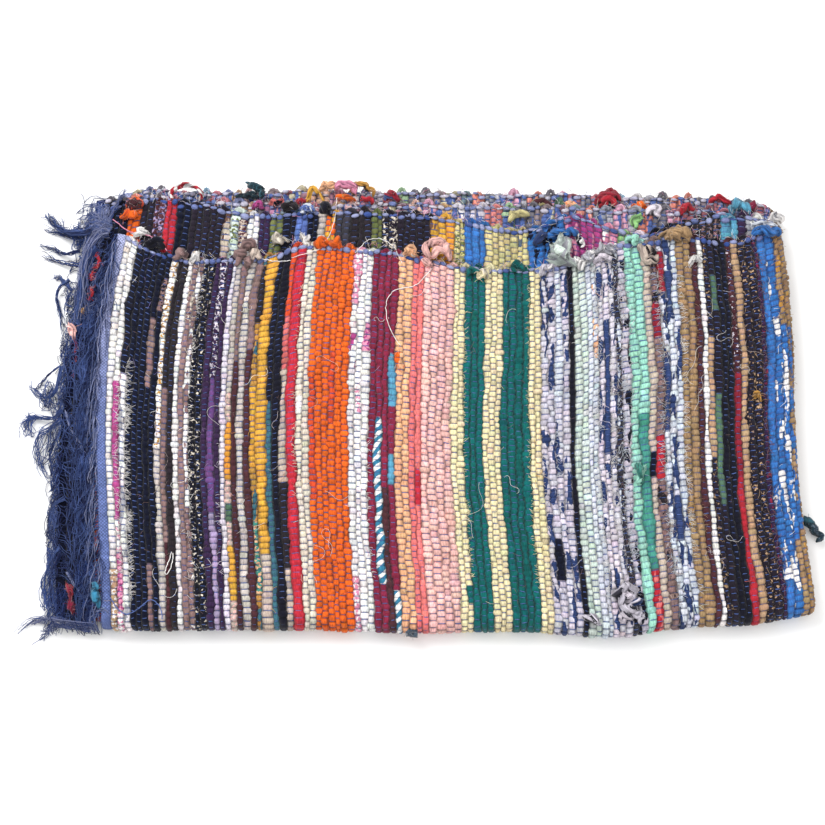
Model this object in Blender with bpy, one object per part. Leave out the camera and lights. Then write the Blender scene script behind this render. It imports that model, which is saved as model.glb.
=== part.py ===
"""A rag rug, woven from torn strips of cloth on denim-blue cotton warp, folded in four.

The rug is folded once across its length, at the right (+X), and then along its length,
at the front (-Y). That gives four layers, from the top down: front outer, front inner,
back inner and back outer. The selvedges are at +Y and the fringed ends at -X. The ribs
of the weave are the rag strips, which run from selvedge to selvedge.

A place on the cloth is worked out in two turns. Across the pack a point has an x and a
depth, its distance from the pack's middle plane, which is large in the outer layers and
small in the inner ones. That section is then swept from the front selvedges down to the
long fold, around it and back to the back selvedges. Sizes are in metres.
"""

import math
import random

import bmesh
import bpy
from mathutils import Vector
from mathutils.bvhtree import BVHTree

# The cloth and its layers
CLOTH_THICK = 0.0050
LAYER_STEP = 0.0080
DEPTH_OUTER = 1.5 * LAYER_STEP
DEPTH_INNER = 0.5 * LAYER_STEP
MIDDLE_Z = DEPTH_OUTER + CLOTH_THICK / 2
TURN_RADIUS = LAYER_STEP / 2
FIT_GAP = 0.0003

# The plain-woven heading at each end, and the warp ends knotted out of it
HEADING_WIDTH = 0.0100
HEADING_THICK = 0.0024
LOCK_RADIUS = 0.0012
LOCK_TAPER = 0.25
LOCK_ROOT = 0.0040
LOCK_TUFT = 0.110
LOCK_SWING = 0.0085
LOCK_STRAY = 0.0007
LOCK_SPLAY = 0.036
LOCK_CURL = 1.4
LOCK_MARGIN = 0.03
LOCK_SEED = 11

# Where the pack lies, so that its whole box is centred on the origin
PACK_X = 0.0002
PACK_Y = -0.0127

# How far each end of the pack reaches, at shares of the way up from the long fold
OUTER_END, INNER_END, CROSS_FOLD = 1, 2, 3
ENDS = (
    # share up, outer end, inner end, cross fold
    (0.0, -0.3215, -0.3640, 0.4115),
    (0.5, -0.3300, -0.3680, 0.4055),
    (1.0, -0.3070, -0.3450, 0.3950),
)

# The selvedges of the four layers, from left to right
SELVEDGES = (
    # x, front outer, front inner, back inner, back outer
    (-0.360, 0.196, 0.218, 0.238, 0.246),
    (-0.310, 0.194, 0.234, 0.243, 0.252),
    (-0.285, 0.180, 0.238, 0.246, 0.256),
    (-0.250, 0.169, 0.236, 0.242, 0.253),
    (-0.160, 0.169, 0.221, 0.236, 0.251),
    (-0.115, 0.183, 0.223, 0.234, 0.255),
    (-0.060, 0.179, 0.224, 0.235, 0.251),
    (0.000, 0.171, 0.222, 0.236, 0.252),
    (0.045, 0.159, 0.215, 0.234, 0.251),
    (0.125, 0.155, 0.203, 0.233, 0.249),
    (0.170, 0.163, 0.219, 0.232, 0.250),
    (0.205, 0.179, 0.208, 0.230, 0.247),
    (0.250, 0.188, 0.198, 0.229, 0.246),
    (0.290, 0.193, 0.212, 0.228, 0.246),
    (0.345, 0.188, 0.219, 0.227, 0.243),
    (0.404, 0.204, 0.210, 0.219, 0.232),
)

# The outermost line of the long fold
LONG_FOLD = (
    # x, y
    (-0.360, -0.229),
    (-0.110, -0.228),
    (0.000, -0.231),
    (0.120, -0.230),
    (0.205, -0.236),
    (0.270, -0.226),
    (0.340, -0.223),
    (0.404, -0.213),
)

# Where the pack stands a little higher, as a share of the height of each layer
LOFTS = (
    # x, y, share, reach in x, reach in y
    (-0.22, -0.14, 0.10, 0.12, 0.12),
    (-0.05, -0.05, 0.13, 0.13, 0.15),
    (0.10, 0.05, 0.09, 0.10, 0.12),
    (0.20, -0.16, 0.13, 0.11, 0.10),
    (0.33, 0.02, 0.11, 0.07, 0.14),
)

# The rag ribs of the outer half, from the fringed end to the cross fold
OUTER_BANDS = (
    # band, ribs, pitch, rise
    ("white edge", 3, 0.0066, 0.0010),
    ("navy", 5, 0.0062, 0.0008),
    ("taupe and black", 6, 0.0063, 0.0009),
    ("purple", 4, 0.0062, 0.0009),
    ("mixed browns", 7, 0.0062, 0.0009),
    ("gold", 1, 0.0105, 0.0015),
    ("teal and navy", 2, 0.0064, 0.0010),
    ("peach and red", 3, 0.0068, 0.0011),
    ("cream", 2, 0.0062, 0.0009),
    ("orange", 6, 0.0074, 0.0013),
    ("white and pink", 3, 0.0072, 0.0010),
    ("maroon", 4, 0.0070, 0.0012),
    ("peach and coral", 4, 0.0072, 0.0012),
    ("salmon", 4, 0.0085, 0.0015),
    ("pale yellow", 2, 0.0062, 0.0009),
    ("dark green", 3, 0.0068, 0.0012),
    ("pale yellow", 3, 0.0062, 0.0009),
    ("dark green", 4, 0.0074, 0.0013),
    ("pale yellow", 2, 0.0062, 0.0009),
    ("lilac grey", 4, 0.0076, 0.0012),
    ("mint and navy", 8, 0.0072, 0.0011),
    ("emerald", 2, 0.0078, 0.0013),
    ("mottled brown", 2, 0.0080, 0.0011),
    ("white and navy", 3, 0.0068, 0.0010),
    ("khaki", 2, 0.0080, 0.0012),
    ("black and olive", 6, 0.0068, 0.0009),
    ("black and tan", 3, 0.0078, 0.0012),
    ("royal blue", 2, 0.0082, 0.0013),
)

# The ribs of the inner half, from the cross fold to the fringed end
INNER_BANDS = (
    # band, ribs, pitch, rise
    ("brown and white", 5, 0.0078, 0.0010),
    ("teal and navy", 12, 0.0076, 0.0009),
    ("green and pink", 9, 0.0078, 0.0011),
    ("royal blue", 4, 0.0090, 0.0013),
    ("yellow", 8, 0.0080, 0.0012),
    ("plum and black", 12, 0.0074, 0.0009),
    ("gold and grey", 8, 0.0080, 0.0010),
    ("olive and brown", 14, 0.0078, 0.0010),
    ("red and maroon", 10, 0.0076, 0.0011),
    ("black and orange", 10, 0.0074, 0.0009),
)

TURN_RIBS = 3
TURN_RIB_RISE = 0.0010
PLAIN_STEPS = 14
TURN_STEPS = 4
RIB_WAVER = 0.0011
RIB_SEED = 5

# The sweep: down the front, around the long fold and up the back
FRONT, BEND, BACK = "front", "bend", "back"
STATIONS = (
    (FRONT, 1.0),
    (FRONT, 0.5),
    (BEND, 0.0),
    (BEND, 45.0),
    (BEND, 90.0),
    (BEND, 135.0),
    (BEND, 180.0),
    (BACK, 0.5),
    (BACK, 1.0),
)

# The lanes that the locks of the four layers lie in on the floor, one above another
FLOOR_LANE = LOCK_RADIUS / 2
LANE_STEP = 0.0023

# How the locks of each layer fall from its heading. A distance is measured past an end of
# the pack: the outer one, where the outer layers' headings are, or the inner one.
LOCK_FALLS = (
    # layer, locks, where its tufts start, bends as (end, distance, height)
    (
        "front outer",
        50,
        0.4,
        ((OUTER_END, 0.012, 0.0246), (INNER_END, 0.004, 0.0240), (INNER_END, 0.028, 0.0088)),
    ),
    ("front inner", 46, 2.3, ((INNER_END, 0.009, 0.0125), (INNER_END, 0.026, 0.0052))),
    ("back inner", 42, 4.1, ((INNER_END, 0.007, 0.0062), (INNER_END, 0.020, 0.0029))),
    ("back outer", 42, 5.6, ((OUTER_END, 0.010, 0.0006), (OUTER_END, 0.034, 0.0006))),
)
LOCK_TIPS = {
    # layer: end, shortest, longest, lane
    "front outer": (INNER_END, 0.034, 0.052, 3),
    "front inner": (INNER_END, 0.036, 0.056, 2),
    "back inner": (INNER_END, 0.034, 0.054, 1),
    "back outer": (OUTER_END, 0.050, 0.074, 0),
}

# Rag ends that stand out of the weave: the layer that each lies on, its middle and its size.
# One on the cross fold is settled against it from the side, and the others from above.
SETTLE_FROM = 0.0060
SETTLE_FEELERS = (-0.0020, -0.0010, 0.0, 0.0010, 0.0020)
RAG_ENDS = (
    # node, form, colour, layer, x, y, width, reach, rag radius
    ("rag_loop_red_white", "loop", "red_white", "back inner", -0.247, 0.240, 0.034, 0.020, 0.0026),
    ("rag_tail_dark_teal", "tail", "dark_teal", "back inner", -0.175, 0.245, 0.020, 0.020, 0.0034),
    ("rag_loop_mustard", "loop", "mustard", "back inner", -0.079, 0.232, 0.060, 0.025, 0.0042),
    ("rag_knot_red", "knot", "red", "back outer", 0.217, 0.240, 0.024, 0.013, 0.0045),
    ("rag_knot_white", "knot", "white", "front inner", -0.140, 0.190, 0.018, 0.022, 0.0050),
    ("rag_knot_taupe", "knot", "taupe", "front outer", -0.170, 0.167, 0.028, 0.030, 0.0055),
    ("rag_bow_salmon", "knot", "salmon", "front outer", 0.022, 0.1710, 0.030, 0.030, 0.0065),
    ("rag_tail_grey", "tail", "grey", "front outer", 0.163, 0.168, 0.024, 0.032, 0.0040),
    ("rag_loop_khaki", "loop", "khaki", "front outer", 0.280, 0.184, 0.033, 0.016, 0.0038),
    ("rag_knot_green", "knot", "green", "front outer", 0.238, -0.064, 0.016, 0.026, 0.0040),
    ("rag_knot_lilac", "knot", "lilac", "front outer", 0.216, -0.186, 0.027, 0.040, 0.0055),
    ("rag_tail_teal_side", "tail", "dark_teal", "cross fold", 0.422, -0.1270, 0.010, 0.026, 0.0030),
)

KNOT_CREASE = 0.14
LOOP_STEPS = 8
TAIL_STEPS = 5
TAIL_BEND = 0.22

# Colours and finish of the materials
PAINTS = {
    # colour: red, green, blue, roughness
    "rag_weave": (0.32, 0.22, 0.20, 0.92),
    "warp_blue": (0.10, 0.15, 0.36, 0.95),
    "red_white": (0.62, 0.06, 0.05, 0.90),
    "dark_teal": (0.02, 0.07, 0.08, 0.90),
    "mustard": (0.70, 0.42, 0.12, 0.90),
    "red": (0.45, 0.03, 0.03, 0.90),
    "white": (0.80, 0.77, 0.70, 0.92),
    "taupe": (0.36, 0.28, 0.24, 0.92),
    "salmon": (0.85, 0.28, 0.20, 0.85),
    "grey": (0.42, 0.42, 0.45, 0.92),
    "khaki": (0.30, 0.20, 0.10, 0.90),
    "green": (0.10, 0.38, 0.22, 0.88),
    "lilac": (0.45, 0.44, 0.56, 0.92),
}


def mix(a, b, share):
    """The value at a share of the way from a to b."""
    return a + (b - a) * share


def slope(table, row, column):
    """The slope of a column at one of its rows, from the rows on either side."""
    low = table[max(row - 1, 0)]
    high = table[min(row + 1, len(table) - 1)]
    return (high[column] - low[column]) / (high[0] - low[0])


def read_table(table, place, column):
    """The value of a column at a place along the table's first column, on a smooth curve."""
    if place <= table[0][0]:
        return table[0][column]
    for row in range(len(table) - 1):
        low, high = table[row], table[row + 1]
        if place <= high[0]:
            step = high[0] - low[0]
            s = (place - low[0]) / step
            ease = s * s * (3.0 - 2.0 * s)
            bend_in = (s - 2.0 * s * s + s**3) * step * slope(table, row, column)
            bend_out = (s**3 - s * s) * step * slope(table, row + 1, column)
            return mix(low[column], high[column], ease) + bend_in + bend_out
    return table[-1][column]


def clear_scene():
    """Removes every object of the scene that the script starts in."""
    for thing in list(bpy.data.objects):
        bpy.data.objects.remove(thing, do_unlink=True)


def make_collection(name):
    """A collection of the scene."""
    group = bpy.data.collections.new(name)
    bpy.context.scene.collection.children.link(group)
    return group


def make_material(name):
    """A cloth material in one of the rug's colours."""
    red, green, blue, roughness = PAINTS[name]
    paint = bpy.data.materials.new(name)
    paint.use_nodes = True
    shader = paint.node_tree.nodes["Principled BSDF"]
    shader.inputs["Base Color"].default_value = (red, green, blue, 1.0)
    shader.inputs["Roughness"].default_value = roughness
    shader.inputs["Metallic"].default_value = 0.0
    paint.diffuse_color = (red, green, blue, 1.0)
    return paint


def add_object(name, mesh, group, paint):
    """An object of a mesh, in a collection, with its material."""
    thing = bpy.data.objects.new(name, mesh)
    group.objects.link(thing)
    mesh.materials.append(paint)
    return thing


def mesh_from(name, points, faces):
    """A mesh of points and faces, with its faces turned outwards."""
    mesh = bpy.data.meshes.new(name)
    mesh.from_pydata(points, [], faces)
    work = bmesh.new()
    work.from_mesh(mesh)
    bmesh.ops.recalc_face_normals(work, faces=work.faces)
    work.to_mesh(mesh)
    work.free()
    return mesh


# The folds


def share_up(station):
    """How far up from the long fold a station lies, from 0 to 1."""
    kind, amount = station
    return 0.0 if kind == BEND else amount


def end_x(station, column):
    """The x of an end of the pack at a station. Columns are those of ENDS."""
    return read_table(ENDS, share_up(station), column)


def turn_start(station):
    """The x where the cross fold starts to turn."""
    return end_x(station, CROSS_FOLD) - TURN_RADIUS - CLOTH_THICK / 2 - TURN_RIB_RISE


def loft(x, y):
    """How much higher than its plain height the pack stands, as a share."""
    total = 0.0
    for at_x, at_y, share, reach_x, reach_y in LOFTS:
        total += share * math.exp(-(((x - at_x) / reach_x) ** 2) - ((y - at_y) / reach_y) ** 2)
    return total


def sweep(x, depth, inner, station):
    """The place of a section point at a station. inner is 0 in an outer layer and 1 in an inner one."""
    kind, amount = station
    fold_y = read_table(LONG_FOLD, x, 1) + MIDDLE_Z
    if kind == BEND:
        angle = math.radians(amount)
        y = fold_y - depth * math.sin(angle)
        z = MIDDLE_Z + depth * math.cos(angle)
    elif kind == FRONT:
        top = mix(read_table(SELVEDGES, x, 1), read_table(SELVEDGES, x, 2), inner)
        y = mix(fold_y, top, amount)
        z = MIDDLE_Z + depth
    else:
        top = mix(read_table(SELVEDGES, x, 4), read_table(SELVEDGES, x, 3), inner)
        y = mix(fold_y, top, amount)
        z = MIDDLE_Z - depth
    z *= 1.0 + loft(x, y)
    return (x + PACK_X, y + PACK_Y, z)


def outer_column(share, lift, waver=0.0):
    """A line of points on the outer half, a share of the way from its fringed end to the cross fold."""

    def at(station):
        left = end_x(station, OUTER_END) + HEADING_WIDTH + FIT_GAP
        x = mix(left, turn_start(station), share) + waver * bow(station)
        return sweep(x, DEPTH_OUTER + lift * rib_fade(station, lift), 0.0, station)

    return at


def turn_column(share, lift):
    """A line of points on the cross fold, a share of the way around it."""

    def at(station):
        angle = math.pi * share
        radius = TURN_RADIUS + lift * rib_fade(station, lift)
        x = turn_start(station) + radius * math.sin(angle)
        depth = (DEPTH_OUTER + DEPTH_INNER) / 2 + radius * math.cos(angle)
        return sweep(x, depth, (1.0 - math.cos(angle)) / 2, station)

    return at


def inner_column(share, lift, waver=0.0):
    """A line of points on the inner half, a share of the way from the cross fold to its fringed end."""

    def at(station):
        left = end_x(station, INNER_END) + HEADING_WIDTH + FIT_GAP
        x = mix(turn_start(station), left, share) + waver * bow(station)
        return sweep(x, DEPTH_INNER - lift, 1.0, station)

    return at


def bow(station):
    """How much of a rib's waver shows at a station: all half way up, none at the folds."""
    return 1.0 - abs(2.0 * share_up(station) - 1.0)


def rib_fade(station, lift):
    """The part of an outward lift that is kept. The ribs die out towards the flat underside."""
    kind, amount = station
    flat = CLOTH_THICK / 2
    if lift <= flat:
        return 1.0
    if kind == BACK or (kind == BEND and amount >= 180.0):
        return flat / lift
    return 1.0


# The woven cloth


def rib_edges(bands):
    """The valley and crest of each rib, as (share of the half's length, rise)."""
    whole = sum(ribs * pitch for _, ribs, pitch, _ in bands)
    edges = []
    reached = 0.0
    for _, ribs, pitch, rise in bands:
        for _ in range(ribs):
            edges.append((reached / whole, 0.0))
            edges.append(((reached + pitch / 2) / whole, rise))
            reached += pitch
    edges.append((1.0, 0.0))
    return edges


def ribbed_chain(bands, column, side, draw):
    """Columns over the ribs of a half. side is 1 on the outward skin and -1 on the inward one."""
    chain = []
    for share, rise in rib_edges(bands):
        at_end = share in (0.0, 1.0)
        waver = 0.0 if at_end else draw.uniform(-RIB_WAVER, RIB_WAVER)
        chain.append((share, column(share, side * (CLOTH_THICK / 2 + rise), waver)))
    return chain


def plain_chain(column, side, steps):
    """Evenly spaced columns over a skin without ribs."""
    return [(i / steps, column(i / steps, side * CLOTH_THICK / 2)) for i in range(steps + 1)]


def turn_chain(side, ribs):
    """Columns around the cross fold, with ribs on the outward skin."""
    steps = 2 * ribs if ribs else TURN_STEPS
    chain = []
    for i in range(1, steps):
        rise = TURN_RIB_RISE if ribs and i % 2 else 0.0
        chain.append((i / steps, turn_column(i / steps, side * (CLOTH_THICK / 2 + rise))))
    return chain


def join_chains(*chains):
    """One chain of chains laid end to end, each column with its progress along the whole."""
    joined = []
    for number, chain in enumerate(chains):
        joined += [(number + share, column) for share, column in chain]
    return joined


def zip_rows(left, right):
    """Triangles between two rows of (progress, vertex), from their first columns to their last."""
    faces = []
    i = j = 0
    while i < len(left) - 1 or j < len(right) - 1:
        step_left = j == len(right) - 1 or (
            i < len(left) - 1 and left[i + 1][0] <= right[j + 1][0]
        )
        if step_left:
            faces.append((left[i][1], left[i + 1][1], right[j][1]))
            i += 1
        else:
            faces.append((left[i][1], right[j + 1][1], right[j][1]))
            j += 1
    return faces


def build_cloth(group):
    """The rag-woven cloth, one solid through all four layers."""
    draw = random.Random(RIB_SEED)
    outward = join_chains(
        ribbed_chain(OUTER_BANDS, outer_column, 1, draw),
        turn_chain(1, TURN_RIBS),
        plain_chain(inner_column, 1, PLAIN_STEPS),
    )
    inward = join_chains(
        plain_chain(outer_column, -1, PLAIN_STEPS),
        turn_chain(-1, 0),
        ribbed_chain(INNER_BANDS, inner_column, -1, draw),
    )
    points = []
    rows = []
    for station in STATIONS:
        row = []
        for chain in (outward, inward):
            start = len(points)
            points += [column(station) for _, column in chain]
            row.append([(chain[i][0], start + i) for i in range(len(chain))])
        rows.append(row)
    faces = []
    for row, following in zip(rows, rows[1:]):
        for side in (0, 1):
            for i in range(len(row[side]) - 1):
                a, b = row[side][i][1], row[side][i + 1][1]
                c, d = following[side][i + 1][1], following[side][i][1]
                faces.append((a, b, c, d))
        for end in (0, -1):
            corners = (row[0][end][1], row[1][end][1])
            beyond = (following[1][end][1], following[0][end][1])
            faces.append(corners + beyond)
    faces += zip_rows(rows[0][0], rows[0][1])
    faces += zip_rows(rows[-1][0], rows[-1][1])
    mesh = mesh_from("rug_cloth", points, faces)
    return add_object("rug_cloth", mesh, group, make_material("rag_weave"))


# The headings and fringes


def heading_points(station, column, depth):
    """The four corners of a heading strip at a station."""
    left = end_x(station, column)
    inner = float(column == INNER_END)
    corners = []
    for x, lift in (
        (left, HEADING_THICK / 2),
        (left + HEADING_WIDTH, HEADING_THICK / 2),
        (left + HEADING_WIDTH, -HEADING_THICK / 2),
        (left, -HEADING_THICK / 2),
    ):
        corners.append(sweep(x, depth + lift, inner, station))
    return corners


def heading_mesh(name, column, depth):
    """The heading strip of one fringed end, from the front selvedge around to the back one."""
    points = []
    for station in STATIONS:
        points += heading_points(station, column, depth)
    faces = [(0, 1, 2, 3)]
    for i in range(len(STATIONS) - 1):
        near, far = 4 * i, 4 * (i + 1)
        for k in range(4):
            n = (k + 1) % 4
            faces.append((near + k, near + n, far + n, far + k))
    last = 4 * (len(STATIONS) - 1)
    faces.append((last, last + 1, last + 2, last + 3))
    return mesh_from(name, points, faces)


def lock_route(fall, share, draw):
    """The rings of a warp lock, as (x, y, z, radius), from inside its heading to its tip."""
    layer, _, tuft_start, bends = fall
    station = (FRONT if layer.startswith("front") else BACK, share)
    outer = layer.endswith("outer")
    root_x = end_x(station, OUTER_END if outer else INNER_END)
    depth = DEPTH_OUTER if outer else DEPTH_INNER
    _, y, z = sweep(root_x, depth, float(not outer), station)

    tuft = math.tau * y / LOCK_TUFT + tuft_start
    swing = LOCK_SPLAY * (share - 0.5) + LOCK_SWING * math.sin(tuft)
    swing += draw.uniform(-LOCK_STRAY, LOCK_STRAY)
    reach = 0.5 - 0.3 * math.cos(tuft) + draw.uniform(-0.2, 0.2)

    tip_end, shortest, longest, lane = LOCK_TIPS[layer]
    tip_x = end_x(station, tip_end) - mix(shortest, longest, reach)
    rings = [(root_x + LOCK_ROOT + PACK_X, y, z, LOCK_RADIUS)]
    marks = [(end_x(station, end) - gone, height) for end, gone, height in bends]
    marks.append((tip_x, FLOOR_LANE + lane * LANE_STEP))
    for x, height in marks:
        along = (root_x - x) / (root_x - tip_x)
        radius = LOCK_RADIUS * (1.0 - LOCK_TAPER * along)
        rings.append((x + PACK_X, y + swing * along**LOCK_CURL, height, radius))
    return rings


def lock_faces(rings, points, faces):
    """Adds a lock as a three-sided tube with a closed root and a pointed tip."""
    first = len(points)
    corners = [math.radians(angle) for angle in (90.0, 210.0, 330.0)]
    for x, y, z, radius in rings[:-1]:
        points += [(x, y + radius * math.cos(c), z + radius * math.sin(c)) for c in corners]
    x, y, z, _ = rings[-1]
    points.append((x, y, z))
    faces.append((first, first + 2, first + 1))
    for ring in range(len(rings) - 2):
        near, far = first + 3 * ring, first + 3 * (ring + 1)
        for k in range(3):
            n = (k + 1) % 3
            faces.append((near + k, near + n, far + n, far + k))
    last = first + 3 * (len(rings) - 2)
    tip = len(points) - 1
    faces += [(last + k, last + (k + 1) % 3, tip) for k in range(3)]


def build_fringe(name, column, depth, group, cutters):
    """A heading strip with its warp locks fused to it."""
    paint = make_material("warp_blue")
    heading = add_object(name, heading_mesh(name, column, depth), group, paint)
    draw = random.Random(LOCK_SEED + column)
    points = []
    faces = []
    for fall in LOCK_FALLS:
        layer, count = fall[0], fall[1]
        if not name.endswith(layer.split()[1]):
            continue
        for i in range(count):
            share = mix(LOCK_MARGIN, 1.0 - LOCK_MARGIN / 2, (i + 0.5) / count)
            lock_faces(lock_route(fall, share, draw), points, faces)
    locks = add_object(name + "_locks", mesh_from(name + "_locks", points, faces), cutters, paint)
    locks.hide_render = True
    locks.display_type = "WIRE"
    join = heading.modifiers.new("fuse", "BOOLEAN")
    join.operation = "UNION"
    join.solver = "EXACT"
    join.object = locks
    return heading


# The rag ends


def tube_object(name, route, radii, paint, group):
    """A rag strip as a tube through a short route, with its own radius at each point."""
    curve = bpy.data.curves.new(name, "CURVE")
    curve.dimensions = "3D"
    curve.bevel_depth = 1.0
    curve.bevel_resolution = 1
    curve.use_fill_caps = True
    spline = curve.splines.new("POLY")
    spline.points.add(len(route) - 1)
    for point, place, radius in zip(spline.points, route, radii):
        point.co = (*place, 1.0)
        point.radius = radius
    curve.materials.append(paint)
    thing = bpy.data.objects.new(name, curve)
    group.objects.link(thing)
    return thing


def start_height(layer, x, y):
    """The z from which a rag end is settled on its layer."""
    if layer == "cross fold":
        return MIDDLE_Z - (DEPTH_OUTER + DEPTH_INNER) / 2 - TURN_RADIUS / 2
    depth = DEPTH_OUTER if layer.endswith("outer") else DEPTH_INNER
    side = 1.0 if layer.startswith("front") else -1.0
    return (MIDDLE_Z + side * depth + CLOTH_THICK / 2) * (1.0 + loft(x, y)) + SETTLE_FROM


def surface_of(thing):
    """The points of an object as it is built, and its surface for rays."""
    shown = thing.evaluated_get(bpy.context.evaluated_depsgraph_get())
    mesh = shown.to_mesh()
    points = [thing.matrix_world @ vert.co for vert in mesh.vertices]
    faces = [tuple(face.vertices) for face in mesh.polygons]
    shown.to_mesh_clear()
    return points, BVHTree.FromPolygons(points, faces)


def settle(thing, cloth_surface, direction):
    """Moves a rag end along a direction until it lies a fit gap from the cloth."""
    points, _ = surface_of(thing)
    across = direction.cross(Vector((0.0, 1.0, 0.0)))
    gaps = []
    for point in points:
        for feeler in SETTLE_FEELERS:
            hit = cloth_surface.ray_cast(point + across * feeler, direction)
            if hit[0] is not None:
                gaps.append(hit[3])
    thing.location += direction * (min(gaps) - FIT_GAP)


def build_loop(name, place, width, reach, thick, paint, group):
    """A rag strip that leaves the edge and comes back to it in an arch."""
    route = []
    radii = []
    for i in range(LOOP_STEPS + 1):
        angle = math.pi * i / LOOP_STEPS
        out = Vector((-width / 2 * math.cos(angle), reach * math.sin(angle), thick))
        route.append(place + out)
        radii.append(thick * mix(0.75, 1.0, math.sin(angle)))
    return tube_object(name, route, radii, paint, group)


def build_tail(name, place, width, reach, thick, paint, group):
    """A cut rag end that lies in a shallow bend and tapers to its tip."""
    route = []
    radii = []
    for i in range(TAIL_STEPS + 1):
        share = i / TAIL_STEPS
        up = reach * (share - 0.5 + TAIL_BEND * math.sin(math.pi * share))
        route.append(place + Vector((width * (share - 0.5), up, thick)))
        radii.append(thick * mix(1.0, 0.4, share**2))
    return tube_object(name, route, radii, paint, group)


def build_knot(name, place, width, reach, thick, paint, group):
    """A knotted rag: a flattened ball with four creases between its wraps."""
    mesh = bpy.data.meshes.new(name)
    work = bmesh.new()
    bmesh.ops.create_icosphere(work, subdivisions=2, radius=1.0)
    for vert in work.verts:
        turn = math.atan2(vert.co.y, vert.co.x)
        crease = 1.0 - KNOT_CREASE * math.cos(4.0 * turn + 3.0 * vert.co.z)
        size = Vector((width / 2 * crease, reach / 2 * crease, thick))
        vert.co = vert.co * size + place + Vector((0.0, 0.0, thick))
    work.to_mesh(mesh)
    work.free()
    return add_object(name, mesh, group, paint)


FORMS = {"loop": build_loop, "tail": build_tail, "knot": build_knot}


def build_rag_ends(cloth, group):
    """Every rag end of the table, each in its own colour, settled on the cloth."""
    _, cloth_surface = surface_of(cloth)
    paints = {}
    for name, form, colour, layer, x, y, width, reach, thick in RAG_ENDS:
        if colour not in paints:
            paints[colour] = make_material(colour)
        place = Vector((x + PACK_X, y + PACK_Y, start_height(layer, x, y)))
        thing = FORMS[form](name, place, width, reach, thick, paints[colour], group)
        inwards = Vector((-1.0, 0.0, 0.0)) if layer == "cross fold" else Vector((0.0, 0.0, -1.0))
        settle(thing, cloth_surface, inwards)


def main():
    """Builds the folded rug."""
    clear_scene()
    group = make_collection("folded_rag_rug")
    cutters = make_collection("shaping")
    cloth = build_cloth(group)
    build_fringe("fringe_outer", OUTER_END, DEPTH_OUTER, group, cutters)
    build_fringe("fringe_inner", INNER_END, DEPTH_INNER, group, cutters)
    build_rag_ends(cloth, group)


main()
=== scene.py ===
"""The looks of a folded rag rug, woven from torn cloth strips on denim-blue cotton warp.

The rug is folded in four, once across its length at the right and then along its length at
the front. From the top down its layers are front outer, front inner, back inner and back
outer. The outer half lies outside the cross fold and the inner half inside it.

A place on the cloth is given as a share of its half's length, from the fringed end (0) to the
cross fold (1), a walk along the rag strips, and a lift off the cloth's middle. A walk goes
from 0 to 1 down the front, from 1 to 2 around the long fold and from 2 to 3 up the back.
"""

import logging
import math
from dataclasses import dataclass, field
from enum import Enum
from typing import Sequence

import bmesh
import bpy
import numpy as np
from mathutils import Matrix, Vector


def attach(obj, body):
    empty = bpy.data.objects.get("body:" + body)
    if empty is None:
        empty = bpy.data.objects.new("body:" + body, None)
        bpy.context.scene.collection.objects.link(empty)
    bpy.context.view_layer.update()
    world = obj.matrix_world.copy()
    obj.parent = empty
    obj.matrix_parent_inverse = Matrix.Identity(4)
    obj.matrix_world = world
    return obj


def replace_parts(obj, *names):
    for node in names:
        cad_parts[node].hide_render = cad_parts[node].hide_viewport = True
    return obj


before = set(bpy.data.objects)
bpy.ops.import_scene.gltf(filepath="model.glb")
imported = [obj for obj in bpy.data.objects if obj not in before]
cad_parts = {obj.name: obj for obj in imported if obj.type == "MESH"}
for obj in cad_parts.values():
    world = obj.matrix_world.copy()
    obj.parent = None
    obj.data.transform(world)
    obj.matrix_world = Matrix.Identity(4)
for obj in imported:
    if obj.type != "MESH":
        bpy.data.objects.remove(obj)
log = logging.getLogger("rag_rug")

# Short names for the types
Array = np.ndarray
Draw = np.random.Generator
Thing = bpy.types.Object
Finish = bpy.types.Material
Socket = bpy.types.NodeSocket

# Millimetres in a metre, for the tables
MM = 1000.0

# The cloth and the step from one layer to the next
CLOTH_THICK = 0.0050
HALF_THICK = CLOTH_THICK / 2
LAYER_STEP = 0.0080
DEPTH_OUTER = 1.5 * LAYER_STEP
DEPTH_INNER = 0.5 * LAYER_STEP
MIDDLE_Z = DEPTH_OUTER + HALF_THICK

# The cross fold, and what its ribs leave free up to the end of the pack
TURN_RADIUS = LAYER_STEP / 2
TURN_SPARE = 0.0010

# The headings, and the gap between them and the cloth
HEADING_WIDTH = 0.0100
HEADING_THICK = 0.0024
FIT_GAP = 0.0003

# How the pack is centred, and how far over a layer's plain face its ribs stand
SHIFT_X, SHIFT_Y = 0.0002, -0.0127
FACE_RISE = 0.0005

# The rug laid flat, and the lengths of its halves and its turn along the warp
HALF_LENGTH, TURN_LENGTH = 0.72, 0.021

# The steps of the ground's pattern along the warp, and the length of a leg of the walk in it
GROUND_STEP, LEG_LENGTH = 0.0065, 0.45

# The pitch of the warp, and the finest hairs
WARP_GAP = 0.0067
HAIR_RADIUS = 0.00019

# A walk's legs, and the walk from which the cloth lies on the floor
FRONT_END, BEND_END, BACK_END = 1.0, 2.0, 3.0
FLOOR_WALK = BEND_END - 0.02

# What is added to the seed for the draws of the fringe, the rag ends and the loose threads
FRINGE_DRAW, RAG_DRAW, LOOSE_DRAW = 31, 71, 53

# Looks of plain yarn: printed share, painted light in the hollows, and smoothness
GROUND_LOOK = (0.0, 1.0, 0.2)
HEADING_LOOK = (0.0, 0.92, 0.0)
YARN_LOOK = (0.0, 0.9, 0.0)
HAIR_LOOK = (0.0, 1.0, 0.0)


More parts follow.
